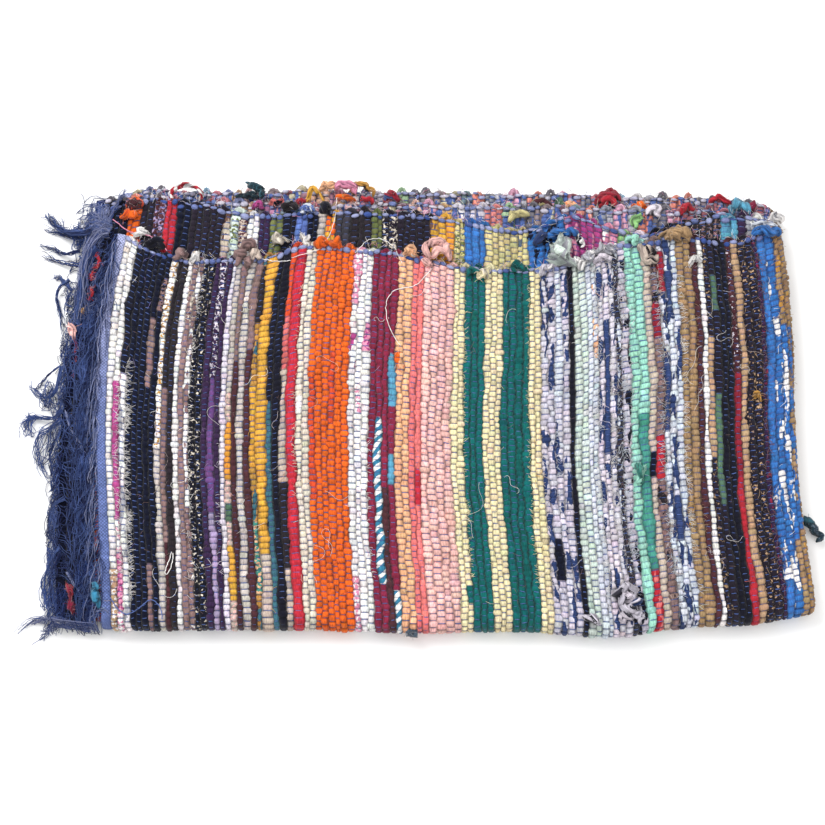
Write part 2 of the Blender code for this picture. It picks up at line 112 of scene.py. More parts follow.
def read_word(word: str) -> object:
    """Reads a word of a table.

    Args:
        word: The word.

    Returns:
        It as a number, as the parts that its commas join, or as it stands.
    """
    if "," in word:
        return tuple(read_word(part) for part in word.split(","))
    try:
        return float(word) if "." in word else int(word)
    except ValueError:
        return word


def read_rows(text: str) -> list[tuple]:
    """Reads a table with a row on each line.

    Args:
        text: The rows. Spaces part the words, a colon ends a name that has spaces, and commas
            join the numbers of a point.

    Returns:
        The rows.
    """
    rows = []
    for line in text.strip().splitlines():
        name, colon, rest = line.strip().rpartition(":")
        words = [read_word(word) for word in rest.split()]
        rows.append((name, *words) if colon else tuple(words))
    return rows


def read_stripes(text: str) -> list[tuple]:
    """Reads a table of stripes, where the rows of a stripe's joins stand under its own.

    Args:
        text: The rows.

    Returns:
        The stripes' rows, each with the list of its joins at its end.
    """
    stripes = []
    for row in read_rows(text):
        if isinstance(row[0], str):
            stripes.append((*row, []))
        else:
            stripes[-1][-1].append(row)
    return stripes


# Dyes, as seen in soft daylight: red, green and blue from 0 to 255
DYES: dict[str, tuple[int, int, int]] = dict(read_rows("""
    white 252,248,245
    white_blue 220,226,236
    lilac_white 232,222,233
    lilac_grey 212,206,218
    mint_white 216,230,220
    cream 238,226,208
    pale_yellow 249,234,186
    yellow 216,204,146
    gold 236,176,72
    mustard 198,146,74
    orange_gold 238,158,64
    orange 246,108,40
    orange_red 226,84,50
    peach 252,190,146
    salmon 255,198,190
    coral 232,120,118
    red 186,46,60
    dark_red 150,42,58
    maroon 136,42,68
    brown_maroon 80,46,52
    plum 58,40,72
    purple 104,70,124
    lilac 178,158,196
    magenta 174,72,134
    pink 234,150,180
    beige 208,190,176
    grey_beige 208,197,190
    tan 198,162,128
    khaki 172,140,104
    taupe 144,116,114
    brown 112,82,72
    dark_brown 44,38,44
    black 40,34,46
    ink 26,26,40
    navy 18,22,42
    navy_blue 52,68,112
    royal 60,118,192
    denim 90,112,174
    slate 84,98,112
    charcoal 60,58,68
    grey 172,172,180
    turquoise 94,162,192
    teal 64,108,122
    teal_blue 58,128,162
    dark_teal 40,62,72
    dark_green 14,98,96
    emerald 74,150,136
    mint 166,230,208
    spring_green 146,198,126
    olive 112,120,74
    sage 88,118,96
    periwinkle 164,170,208
    heading_blue 104,120,174
    warp_blue 58,82,148
    warp_dark 30,40,88
"""))


def dye(name: str) -> Array:
    """The colour of a dye as light, red, green and blue from 0 to 1."""
    return (np.array(DYES[name]) / 255.0) ** 2.2


class Half(Enum):
    """The part of the pack that a place lies on."""

    OUTER = "outer"
    TURN = "turn"
    INNER = "inner"


class Layer(Enum):
    """The layers of the pack, by their height over its middle."""

    FRONT_OUTER = DEPTH_OUTER
    FRONT_INNER = DEPTH_INNER
    BACK_INNER = -DEPTH_INNER
    BACK_OUTER = -DEPTH_OUTER


class Rag(Enum):
    """The kinds of rag strip, by how they lie between the warp threads."""

    SHEETING = "sheeting"
    DENIM = "denim"
    JERSEY = "jersey"
    FRAYED = "frayed"
    PRINTED = "printed"
    FLECKED = "flecked"
    PIECED = "pieced"
    TWISTED = "twisted"


@dataclass(frozen=True)
class Cut:
    """How a kind of rag strip looks.

    pinch and narrow are the shares of its height and width that are left under a warp
    thread, and uneven is how much its beads differ. printed is the share of its face that the
    accent dye has in small spots, or 2 where it is twisted with the accent dye, and pieced is
    the share that it has in long runs. smooth is 1 for knitted cloth, and hairs is the number
    of loose hairs on a metre.
    """

    pinch: float
    narrow: float
    uneven: float
    printed: float
    pieced: float
    smooth: float
    hairs: float


CUTS: dict[Rag, Cut] = {
    Rag.SHEETING: Cut(0.52, 0.90, 0.13, 0.04, 0.03, 0.0, 22.0),
    Rag.DENIM: Cut(0.82, 0.96, 0.06, 0.05, 0.05, 0.2, 16.0),
    Rag.JERSEY: Cut(0.76, 0.93, 0.09, 0.03, 0.04, 1.0, 10.0),
    Rag.FRAYED: Cut(0.60, 0.88, 0.24, 0.26, 0.36, 0.0, 380.0),
    Rag.PRINTED: Cut(0.58, 0.90, 0.13, 0.42, 0.12, 0.1, 34.0),
    Rag.FLECKED: Cut(0.74, 0.94, 0.09, 0.30, 0.06, 0.1, 26.0),
    Rag.PIECED: Cut(0.54, 0.88, 0.15, 0.05, 0.42, 0.0, 60.0),
    Rag.TWISTED: Cut(0.80, 0.92, 0.07, 2.00, 0.00, 0.6, 10.0),
}

# The stripes of the outer half, from its fringed end to the cross fold. Under each one stand the
# places on the front where another rag was joined on to one of its ribs. Their shares go up from
# the long fold (0) to the selvedge (1).
# stripe: ribs, width in mm, rag, dye, accent
#     rib, from, to, rag, dye, accent
OUTER_STRIPES = read_stripes("""
    edge white: 1 7 sheeting white tan
        0 0 0.11 printed tan white
    edge magenta: 1 6.4 printed white pink
        0 0.25 0.6 jersey magenta purple
        0 0.02 0.17 printed pink magenta
        0 0.6 1 sheeting white tan
    edge frayed: 1 7 frayed white grey
        0 0.62 1 denim ink white
    navy: 5 6.2 denim navy denim
        3 0.6 0.8 sheeting taupe cream
        3 0 0.13 sheeting taupe cream
        4 0.84 0.94 printed taupe navy
    gold print: 1 6.2 printed white mustard
        0 0 0.45 sheeting grey_beige white
    taupe: 1 5.6 sheeting taupe brown
        0 0.62 1 denim dark_brown taupe
        0 0 0.2 denim brown_maroon taupe
    brown black: 1 6.6 denim dark_brown navy
    narrow white: 1 5.6 sheeting white taupe
    grey taupe: 1 6.6 jersey taupe brown
        0 0.8 1 frayed taupe cream
    fuzzy white: 1 5.2 pieced white taupe
        0 0 0.3 frayed taupe white
    black fleck: 2 6.3 flecked ink cream
    dark plum: 1 6.6 denim plum lilac
    lilac purple: 1 6.6 jersey purple lilac
        0 0.66 1 printed plum lilac_white
        0 0 0.28 sheeting lilac lilac_white
    deep plum: 1 5.6 denim plum purple
    lilac white: 1 5.6 sheeting lilac_white lilac
    mixed beige: 1 6.2 printed beige salmon
        0 0.36 0.52 sheeting orange_gold gold
        0 0.24 0.3 sheeting sage emerald
        0 0.03 0.18 sheeting gold mustard
        0 0.6 1 sheeting grey_beige beige
    maroon brown: 1 5.6 jersey brown_maroon brown
        0 0.7 1 jersey taupe brown
    grey beige: 1 7.8 sheeting grey_beige white
    brown: 1 7.4 jersey brown_maroon taupe
        0 0.74 1 jersey taupe brown_maroon
    teal and peach: 1 6 pieced mustard teal
        0 0.8 0.96 jersey dark_brown brown
        0 0.4 0.62 sheeting gold mustard
        0 0.05 0.24 printed emerald peach
    gold: 1 10.8 sheeting gold mustard
        0 0 0.16 sheeting beige gold
    teal: 1 5.8 denim teal navy
        0 0.58 1 denim ink navy
    ink: 1 8 denim ink navy
    light peach: 1 6.8 sheeting beige peach
        0 0.8 1 jersey orange_red coral
        0 0.66 0.8 sheeting coral peach
        0 0.12 0.34 jersey dark_brown tan
    red: 1 11 jersey red dark_red
    cream: 2 6.3 sheeting cream white
        0 0.52 0.58 jersey white cream
    orange: 6 6.8 sheeting orange orange_red
        0 0.3 0.62 sheeting orange_red orange
        3 0.5 0.7 sheeting orange_red orange_gold
    white and pink: 3 7.1 sheeting white pink
        0 0.84 1 printed pink white
        0 0.66 0.76 pieced white magenta
        1 0.54 0.62 printed white pink
        2 0.7 0.78 printed pink magenta
        0 0 0.1 printed pink white
    maroon one: 1 7 jersey maroon lilac
    maroon two: 1 7.6 jersey maroon dark_red
        0 0.08 0.52 twisted teal_blue white
    maroon three: 1 6 jersey maroon brown_maroon
        0 0 0.34 jersey brown_maroon maroon
    maroon four: 1 7.4 jersey maroon purple
        0 0.56 0.71 jersey turquoise teal
        0 0.35 0.42 jersey turquoise teal
        0 0 0.07 twisted teal_blue white
    peach: 2 7.6 sheeting peach cream
        0 0.66 0.72 frayed peach orange
    coral: 2 6 jersey coral red
        1 0.3 0.4 jersey red coral
    salmon: 4 8.3 sheeting salmon coral
    yellow one: 2 6.2 sheeting pale_yellow cream
        1 0.03 0.09 jersey dark_green pale_yellow
    green one: 3 6.9 jersey dark_green teal
    yellow two: 3 6.2 sheeting pale_yellow cream
    green two: 4 7.5 jersey dark_green teal
    yellow three: 2 6.2 sheeting pale_yellow gold
    lilac and navy: 4 7.5 pieced lilac_grey navy_blue
        2 0.6 1 sheeting white_blue navy
        1 0.1 0.22 denim navy white_blue
    black line: 1 5 denim ink navy
    mint white: 2 7.2 sheeting mint_white white
    white blue: 2 5.6 sheeting white_blue lilac_grey
        1 0.7 1 pieced white_blue peach
    navy and white: 2 6.2 pieced lilac_white navy_blue
        1 0.45 0.8 denim navy_blue white_blue
    lilac fuzz: 1 6.8 pieced lilac_grey navy_blue
    black fuzz: 1 6 frayed charcoal white_blue
    pale lilac: 1 8.6 pieced lilac_grey ink
    mint: 1 9.2 sheeting mint mint_white
        0 0 0.14 jersey mint emerald
    mint emerald: 1 9.6 sheeting mint emerald
        0 0.12 0.52 jersey emerald mint
        0 0 0.12 pieced red coral
    beige: 1 7.6 sheeting beige tan
        0 0.36 0.42 denim navy beige
    dark mix: 1 8.8 frayed taupe dark_brown
        0 0.34 0.46 jersey red dark_red
        0 0.72 0.82 pieced dark_red red
    white and navy: 3 6.9 pieced white_blue navy_blue
        0 0.86 0.96 jersey dark_red red
        1 0.8 0.9 jersey navy_blue navy
        0 0.48 0.66 jersey navy_blue navy
        1 0.18 0.3 denim navy_blue white_blue
    khaki: 2 7.8 sheeting khaki tan
        0 0.2 0.3 frayed khaki gold
    dark maroon: 1 6.4 denim brown_maroon dark_brown
    white line: 1 5.8 sheeting white grey
    khaki and black: 1 6.6 flecked black khaki
        0 0.4 0.72 sheeting tan khaki
    black and sage: 1 7.2 denim black plum
        0 0.28 0.58 jersey sage emerald
        0 0.8 0.9 jersey sage black
    black: 2 6.4 denim ink navy
    pink and red: 1 7 flecked brown_maroon lilac_white
        0 0 0.34 jersey red coral
        0 0.34 0.62 denim dark_red maroon
    tan: 1 7.6 sheeting tan khaki
    black and tan: 2 8.4 flecked black tan
    plum line: 1 5 frayed plum maroon
    royal: 2 8.4 jersey royal navy_blue
        1 0 0.94 pieced royal white
        0 0.06 0.3 pieced royal white
    brown end: 1 6.4 sheeting khaki mustard
        0 0.16 0.74 pieced royal white
        0 0.74 0.98 frayed khaki mustard
""")

# The stripes around the cross fold
TURN_STRIPES = read_stripes("""
    turn brown: 1 7 frayed khaki mustard
        0 0.18 0.72 pieced royal khaki
    turn tan: 1 7 sheeting khaki tan
    turn cream: 1 7 sheeting tan cream
""")

# The stripes of the inner half, from its fringed end to the cross fold
# stripe: ribs, width in mm, rag, dye, accent
INNER_STRIPES = read_stripes("""
    dark end: 2 6.6 denim ink navy
    navy end: 2 6.6 denim navy brown_maroon
    orange: 2 7.8 sheeting orange orange_red
    black: 2 6.2 denim black cream
    maroon fleck: 2 6.2 printed brown_maroon lilac
    red: 2 6.8 jersey red coral
    navy: 2 6.6 denim navy denim
    black two: 5 6.8 denim black ink
    beige fray: 1 8.6 frayed beige brown
    green and cream: 1 8.6 printed mint_white olive
    maroon brown: 1 8.8 printed brown_maroon beige
    white: 2 5.8 sheeting white coral
    plum black: 2 5.8 denim plum black
    olive: 2 6.6 sheeting olive spring_green
    ink: 2 7.6 denim ink navy
    denim: 2 6.6 jersey denim tan
    navy two: 2 5.6 denim navy denim
    grey beige: 1 7.2 sheeting grey_beige taupe
    gold orange: 2 5.6 pieced gold orange
    charcoal: 2 7.6 jersey charcoal grey
    black brown: 3 7.6 denim dark_brown coral
    green: 2 5.4 sheeting olive ink
    black and cream: 2 7.2 printed black cream
    plum black two: 5 7.2 denim black plum
    gold: 2 7.6 pieced gold brown
    orange gold: 1 8.8 sheeting orange_gold gold
    yellow green: 2 6 printed yellow olive
    royal: 3 7 jersey royal turquoise
    yellow: 5 6.8 sheeting yellow pale_yellow
    yellow and slate: 2 6 pieced yellow slate
    royal two: 5 7.5 pieced royal navy
    magenta: 5 7.6 pieced magenta pink
    pink: 2 8.6 pieced pink white
    spring green: 2 7.6 sheeting spring_green mint
    white two: 2 8.6 sheeting lilac_white pink
    black and navy: 4 7.5 denim ink denim
    brown print: 6 7.5 printed dark_brown taupe
    turquoise: 2 8.6 jersey turquoise teal
    purple: 1 9 jersey plum purple
    grey white: 3 7.6 pieced white grey
    tan end: 1 8 sheeting tan cream
""")

# The rags at the back selvedges, from the fringed end to the cross fold
# dye and width in mm
BACK_RAGS = [rag for row in read_rows("""
    navy,18 orange,14 black,12 brown_maroon,10 red,14 navy,14 black,12 orange_red,9 red,9 yellow,8
    denim,8 mustard,9 black,9 magenta,9 coral,8 teal,9 turquoise,7 charcoal,9 red,8 denim,8
    mustard,12 salmon,9 pink,16 brown,12 red,8 yellow,9 maroon,12 peach,12 pink,13 gold,11 white,9
    denim,10 lilac_white,12 orange_red,13 spring_green,12 ink,18 brown,13 yellow,10 maroon,9
    dark_green,9 orange,10 slate,12 grey,12 pink,10 grey,10 orange,11 black,14 pink,10 red,14
    navy,12 red,16 turquoise,10 plum,9 white,10 grey,14
""") for rag in row]

# The folded form, in the same named rows as its solid
OUTER_END, INNER_END, CROSS_FOLD = 1, 2, 3
ENDS = (
    # share up, outer end, inner end, cross fold
    (0.0, -0.3215, -0.3640, 0.4115),
    (0.5, -0.3300, -0.3680, 0.4055),
    (1.0, -0.3070, -0.3450, 0.3950),
)
# How far the outer layers' end and the cross fold stray from those rows
STRAYS = (
    # share up, outer end, inner end, cross fold
    (0.00, 0.0065, 0.0, -0.0010),
    (0.28, 0.0045, 0.0, -0.0070),
    (0.50, 0.0000, 0.0, -0.0040),
    (0.64, -0.0050, 0.0, 0.0010),
    (0.82, -0.0110, 0.0, 0.0035),
    (1.00, -0.0105, 0.0, 0.0035),
)
SELVEDGES = (
    # x, front outer, front inner, back inner, back outer
    (-0.360, 0.196, 0.218, 0.238, 0.246),
    (-0.310, 0.194, 0.234, 0.243, 0.252),
    (-0.285, 0.180, 0.238, 0.246, 0.256),
    (-0.250, 0.169, 0.236, 0.242, 0.253),
    (-0.160, 0.169, 0.221, 0.236, 0.251),
    (-0.115, 0.183, 0.223, 0.234, 0.255),
    (-0.060, 0.179, 0.224, 0.235, 0.251),
    (0.000, 0.171, 0.222, 0.236, 0.252),
    (0.045, 0.159, 0.215, 0.234, 0.251),
    (0.125, 0.155, 0.203, 0.233, 0.249),
    (0.170, 0.163, 0.219, 0.232, 0.250),
    (0.205, 0.179, 0.208, 0.230, 0.247),
    (0.250, 0.188, 0.198, 0.229, 0.246),
    (0.290, 0.193, 0.212, 0.228, 0.246),
    (0.345, 0.188, 0.219, 0.227, 0.243),
    (0.404, 0.204, 0.210, 0.219, 0.232),
)
LONG_FOLD = (
    # x, y
    (-0.360, -0.229),
    (-0.110, -0.228),
    (0.000, -0.231),
    (0.120, -0.230),
    (0.205, -0.236),
    (0.270, -0.226),
    (0.340, -0.223),
    (0.404, -0.213),
)
LOFTS = (
    # x, y, share, reach in x, reach in y
    (-0.22, -0.14, 0.10, 0.12, 0.12),
    (-0.05, -0.05, 0.13, 0.13, 0.15),
    (0.10, 0.05, 0.09, 0.10, 0.12),
    (0.20, -0.16, 0.13, 0.11, 0.10),
    (0.33, 0.02, 0.11, 0.07, 0.14),
)


def mix(a: Array, b: Array, share: Array) -> Array:
    """The value at a share of the way from a to b."""
    return a + (b - a) * share


def smooth(share: Array) -> Array:
    """A share from 0 to 1 with soft ends."""
    held = np.clip(share, 0.0, 1.0)
    return held * held * (3.0 - 2.0 * held)


def read_table(table: Sequence[Sequence[float]], place: Array, column: int) -> Array:
    """Reads a column of a table on a smooth curve.

    Args:
        table: Rows whose first column rises.
        place: Where to read it along the first column.
        column: The column to read.

    Returns:
        The values, held at those of the end rows beyond them.
    """
    marks = np.array([row[0] for row in table])
    values = np.array([row[column] for row in table])
    last = len(marks) - 1
    low_row = np.maximum(np.arange(last + 1) - 1, 0)
    high_row = np.minimum(np.arange(last + 1) + 1, last)
    slopes = (values[high_row] - values[low_row]) / (marks[high_row] - marks[low_row])
    row = np.clip(np.searchsorted(marks, place, side="right") - 1, 0, last - 1)
    step = marks[row + 1] - marks[row]
    s = np.clip((place - marks[row]) / step, 0.0, 1.0)
    bend_in = (s - 2.0 * s**2 + s**3) * step * slopes[row]
    bend_out = (s**3 - s**2) * step * slopes[row + 1]
    return mix(values[row], values[row + 1], s * s * (3.0 - 2.0 * s)) + bend_in + bend_out


def even_walks(leg: int, bend: int) -> Array:
    """Walks at even steps from the front selvedge to the back one.

    Args:
        leg: The steps on the front, and on the back.
        bend: The steps around the long fold.

    Returns:
        The walks.
    """
    front = np.linspace(0.0, FRONT_END, leg, endpoint=False)
    fold = np.linspace(FRONT_END, BEND_END, bend, endpoint=False)
    return np.concatenate([front, fold, np.linspace(BEND_END, BACK_END, leg)])


@dataclass(frozen=True)
class FoldedPack:
    """The folded cloth's form, the same as its solid's.

    legs are the warp steps on the front, around the long fold and on the back, for each half.
    """

    legs: dict[Half, tuple[int, int, int]] = field(
        default_factory=lambda: {Half.OUTER: (61, 6, 69), Half.TURN: (61, 5, 66), Half.INNER: (65, 2, 67)}
    )

    def end_x(self, up: Array, column: int) -> Array:
        """The x of an end of the pack at a share up from the long fold."""
        return read_table(ENDS, up, column) + read_table(STRAYS, up, column)

    def turn_start(self, up: Array) -> Array:
        """The x where the cross fold starts to turn."""
        return self.end_x(up, CROSS_FOLD) - TURN_RADIUS - HALF_THICK - TURN_SPARE

    def along(self, up: Array, column: int, share: Array) -> Array:
        """The x at a share of a layer's length, where its strays fade out from its ends.

        Args:
            up: The share up from the long fold.
            column: The column of the layer's end.
            share: The share of its length, from the end to the cross fold.

        Returns:
            The x.
        """
        stray_left, stray_right = (read_table(STRAYS, up, k) for k in (column, CROSS_FOLD))
        left = self.end_x(up, column) - stray_left + HEADING_WIDTH + FIT_GAP
        plain = mix(left, self.turn_start(up) - stray_right, share)
        return plain + stray_left * (1.0 - share) ** 3 + stray_right * share**3

    def share_up(self, walk: Array) -> Array:
        """How far up from the long fold a walk has come, from 0 to 1."""
        return np.clip(np.where(walk < 1.5, FRONT_END - walk, walk - BEND_END), 0.0, 1.0)

    def loft(self, x: Array, y: Array) -> Array:
        """How much higher than its plain height the pack stands.

        Args:
            x: The x before the pack is centred.
            y: The y before the pack is centred.

        Returns:
            The rise, as a share of the height.
        """
        total = np.zeros_like(x)
        for at_x, at_y, share, reach_x, reach_y in LOFTS:
            total += share * np.exp(-(((x - at_x) / reach_x) ** 2) - ((y - at_y) / reach_y) ** 2)
        return total

    def sweep(self, x: Array, depth: Array, inner: Array, walk: Array) -> Array:
        """Takes places on the section of the pack along a walk.

        Args:
            x: The x on the section, before the pack is centred.
            depth: The distance from the pack's middle plane.
            inner: 0 in an outer layer, 1 in an inner one.
            walk: The walk, from 0 to 3.

        Returns:
            The points, with x, y and z along the last axis.
        """
        fold_y = read_table(LONG_FOLD, x, 1) + MIDDLE_Z
        up = self.share_up(walk)
        front = mix(read_table(SELVEDGES, x, 1), read_table(SELVEDGES, x, 2), inner)
        back = mix(read_table(SELVEDGES, x, 4), read_table(SELVEDGES, x, 3), inner)
        angle = np.pi * np.clip(walk - FRONT_END, 0.0, 1.0)
        on_front, on_back = walk <= FRONT_END, walk >= BEND_END
        y = np.where(on_front, mix(fold_y, front, up), np.where(on_back, mix(fold_y, back, up), fold_y))
        y = y - depth * np.sin(angle)
        z = MIDDLE_Z + depth * np.cos(angle)
        z = np.maximum(z * (1.0 + self.loft(x, y)), 0.0)
        return np.stack([x + SHIFT_X, y + SHIFT_Y, z], axis=-1)

    def place(self, half: Half, share: Array, walk: Array, lift: Array) -> Array:
        """The points at places on the cloth.

        Args:
            half: The part of the pack.
            share: The share of its length, from the fringed end or around the turn.
            walk: The walk along the rag strips, from 0 to 3.
            lift: The height off the cloth's middle, positive outwards.

        Returns:
            The points, with x, y and z along the last axis.
        """
        share, walk, lift = np.broadcast_arrays(
            np.asarray(share, float), np.asarray(walk, float), np.asarray(lift, float)
        )
        up = self.share_up(walk)
        under = (walk >= FLOOR_WALK) & (half is not Half.INNER)
        lift = np.where(under, np.minimum(lift, HALF_THICK), lift)
        if half is Half.TURN:
            angle = np.pi * share
            radius = TURN_RADIUS + lift
            x = self.turn_start(up) + radius * np.sin(angle)
            depth = (DEPTH_OUTER + DEPTH_INNER) / 2 + radius * np.cos(angle)
            return self.sweep(x, depth, (1.0 - np.cos(angle)) / 2, walk)
        outer = half is Half.OUTER
        x = self.along(up, OUTER_END if outer else INNER_END, share)
        depth = DEPTH_OUTER + lift if outer else DEPTH_INNER - lift
        return self.sweep(x, depth, np.full_like(x, 0.0 if outer else 1.0), walk)

    def over(self, layer: Layer, spots: Array) -> Array:
        """The points over spots on the upper face of a layer.

        Args:
            layer: The layer.
            spots: The x and y before the pack is centred, and the height over the face.

        Returns:
            The points.
        """
        x, y, height = np.moveaxis(spots, -1, 0)
        face = MIDDLE_Z + layer.value + HALF_THICK + FACE_RISE
        return np.stack([x + SHIFT_X, y + SHIFT_Y, face * (1.0 + self.loft(x, y)) + height], axis=-1)

    def walk_at(self, half: Half, bead: Array) -> Array:
        """The walk at a number of warp steps from the front selvedge."""
        return np.interp(bead, self.marks(half), [0.0, FRONT_END, BEND_END, BACK_END])

    def bead_at(self, half: Half, walk: Array) -> Array:
        """The number of warp steps from the front selvedge at a walk."""
        return np.interp(walk, [0.0, FRONT_END, BEND_END, BACK_END], self.marks(half))

    def marks(self, half: Half) -> Array:
        """The warp steps at the ends of the three legs of a walk."""
        return np.cumsum([0, *self.legs[half]])


# Meshes


def spread(*parts: object) -> Array:
    """Numbers side by side on a new last axis, each spread over the shape of all."""
    return np.stack(np.broadcast_arrays(*parts), -1)


@dataclass
class MeshStock:
    """Rings of points, joined into tubes and gathered for one mesh."""

    points: list[Array] = field(default_factory=list)
    quads: list[Array] = field(default_factory=list)
    caps: list[Array] = field(default_factory=list)
    colours: dict[str, list] = field(default_factory=lambda: {"dye": [], "accent": []})
    places: dict[str, list] = field(default_factory=lambda: {"look": [], "lie": []})
    count: int = 0

    def add_tubes(
        self,
        rings: Array,
        dyed: Array,
        accent: Array,
        look: Array,
        lie: Array,
        flip: bool = False,
        pieced: object = 0.0,
    ) -> None:
        """Adds closed tubes.

        Args:
            rings: Points of (tubes, rings, points of a ring, 3).
            dyed: Their colours, or a shape that spreads to them.
            accent: Their accent colours.
            look: Printed share, painted light in the hollows, and smoothness.
            lie: Across and along the strip in metres, and a number of its own.
            flip: True turns the faces round.
            pieced: The share of their face in the accent dye, in long runs.
        """
        tubes, steps, sides, _ = rings.shape
        index = self.count + np.arange(tubes * steps * sides).reshape(tubes, steps, sides)
        turned = np.roll(index, -1, axis=2)
        quads = np.stack(
            [index[:, :-1], turned[:, :-1], turned[:, 1:], index[:, 1:]], axis=-1
        ).reshape(-1, 4)
        fan = np.arange(1, sides - 1)
        first, last = index[:, 0], index[:, -1]
        start = np.stack([np.repeat(first[:, :1], sides - 2, 1), first[:, fan + 1], first[:, fan]], -1)
        end = np.stack([np.repeat(last[:, :1], sides - 2, 1), last[:, fan], last[:, fan + 1]], -1)
        caps = np.concatenate([start.reshape(-1, 3), end.reshape(-1, 3)])
        self.quads.append(quads[:, ::-1] if flip else quads)
        self.caps.append(caps[:, ::-1] if flip else caps)
        self.points.append(rings.reshape(-1, 3))
        shape = (tubes, steps, sides, 3)
        share = np.broadcast_to(np.asarray(pieced, float), shape[:3])[..., None]
        for label, values, alpha in (("dye", dyed, share), ("accent", accent, np.ones_like(share))):
            whole = np.concatenate([np.broadcast_to(values, shape), alpha], axis=-1)
            self.colours[label].append(whole.reshape(-1, 4))
        for label, values in (("look", look), ("lie", lie)):
            self.places[label].append(np.broadcast_to(values, shape).reshape(-1, 3))
        self.count += tubes * steps * sides

    def build(self, name: str, finish: Finish) -> Thing:
        """Makes the gathered tubes into one object.

        Args:
            name: The object's name.
            finish: Its material.

        Returns:
            The object, at the origin.
        """
        points = np.concatenate(self.points)
        quads = np.concatenate(self.quads)
        caps = np.concatenate(self.caps)
        mesh = bpy.data.meshes.new(name)
        mesh.vertices.add(len(points))
        mesh.vertices.foreach_set("co", points.astype(np.float32).ravel())
        loops = np.concatenate([quads.ravel(), caps.ravel()]).astype(np.int32)
        sizes = np.concatenate([np.full(len(quads), 4), np.full(len(caps), 3)])
        starts = np.concatenate([[0], np.cumsum(sizes)[:-1]]).astype(np.int32)
        mesh.loops.add(len(loops))
        mesh.loops.foreach_set("vertex_index", loops)
        mesh.polygons.add(len(sizes))
        mesh.polygons.foreach_set("loop_start", starts)
        mesh.update(calc_edges=True)
        for label, values in self.colours.items():
            colours = np.concatenate(values).astype(np.float32)
            layer = mesh.color_attributes.new(label, "FLOAT_COLOR", "POINT")
            layer.data.foreach_set("color", colours.ravel())
        for label, values in self.places.items():
            layer = mesh.attributes.new(label, "FLOAT_VECTOR", "POINT")
            layer.data.foreach_set("vector", np.concatenate(values).astype(np.float32).ravel())
        mesh.shade_smooth()
        mesh.materials.append(finish)
        thing = bpy.data.objects.new(name, mesh)
        bpy.context.scene.collection.objects.link(thing)
        return thing


def unit(v: Array) -> Array:
    """Vectors at length 1."""
    return v / np.maximum(np.linalg.norm(v, axis=-1, keepdims=True), 1e-12)


# The waves in a creased tube's face: their share, and their turns around it and along it
CREASE_WAVES = ((1.0, 3.0, 9.0), (0.5, 5.0, -14.0))


def tube_rings(
    paths: Array,
    radius: Array,
    sides: int,
    flat: float = 1.0,
    twist: float = 0.0,
    crease: float = 0.0,
) -> Array:
    """Rings of points round many paths at once.

    Args:
        paths: Points of (tubes, steps, 3).
        radius: A radius for each step, or a shape that spreads to them.
        sides: Points in a ring.
        flat: The ring's height as a share of its width.
        twist: Turns of the ring along a path.
        crease: How deep folds run along the tube, as a share of its radius.

    Returns:
        Points of (tubes, steps, sides, 3).
    """
    tubes, steps, _ = paths.shape
    along = unit(np.gradient(paths, axis=1))
    side = np.zeros_like(paths)
    start = np.where(np.abs(along[:, :1, 2:]) > 0.9, [[[1.0, 0.0, 0.0]]], [[[0.0, 0.0, 1.0]]])
    side[:, :1] = unit(np.cross(along[:, :1], start))
    for i in range(1, steps):
        held = side[:, i - 1] - along[:, i] * np.sum(side[:, i - 1] * along[:, i], -1, keepdims=True)
        side[:, i] = unit(held)
    rise = np.cross(along, side)
    share = np.linspace(0.0, 1.0, steps)[None, :, None]
    turn = math.tau * (np.arange(sides)[None, None, :] / sides) + 0.0 * share
    spin = math.tau * twist * share
    folds = 1.0
    for size, around, length in CREASE_WAVES:
        folds = folds + size * crease * np.cos(around * turn + length * share)
    reach = np.broadcast_to(np.asarray(radius, float), (tubes, steps))[..., None] * folds
    wide, high = reach * np.cos(turn), reach * np.sin(turn) * flat
    a = (wide * np.cos(spin) - high * np.sin(spin))[..., None]
    b = (wide * np.sin(spin) + high * np.cos(spin))[..., None]
    return paths[:, :, None] + side[:, :, None] * a + rise[:, :, None] * b


def smooth_path(marks: Sequence[Sequence[float]], steps: int) -> Array:
    """A smooth path through a few given points.

    Args:
        marks: The points.
        steps: How many points the path has.

    Returns:
        The path's points.
    """
    at = np.linspace(0.0, len(marks) - 1.0, steps)
    rows = [(float(i), *mark) for i, mark in enumerate(marks)]
    return np.stack([read_table(rows, at, column + 1) for column in range(3)], axis=-1)


# Finishes


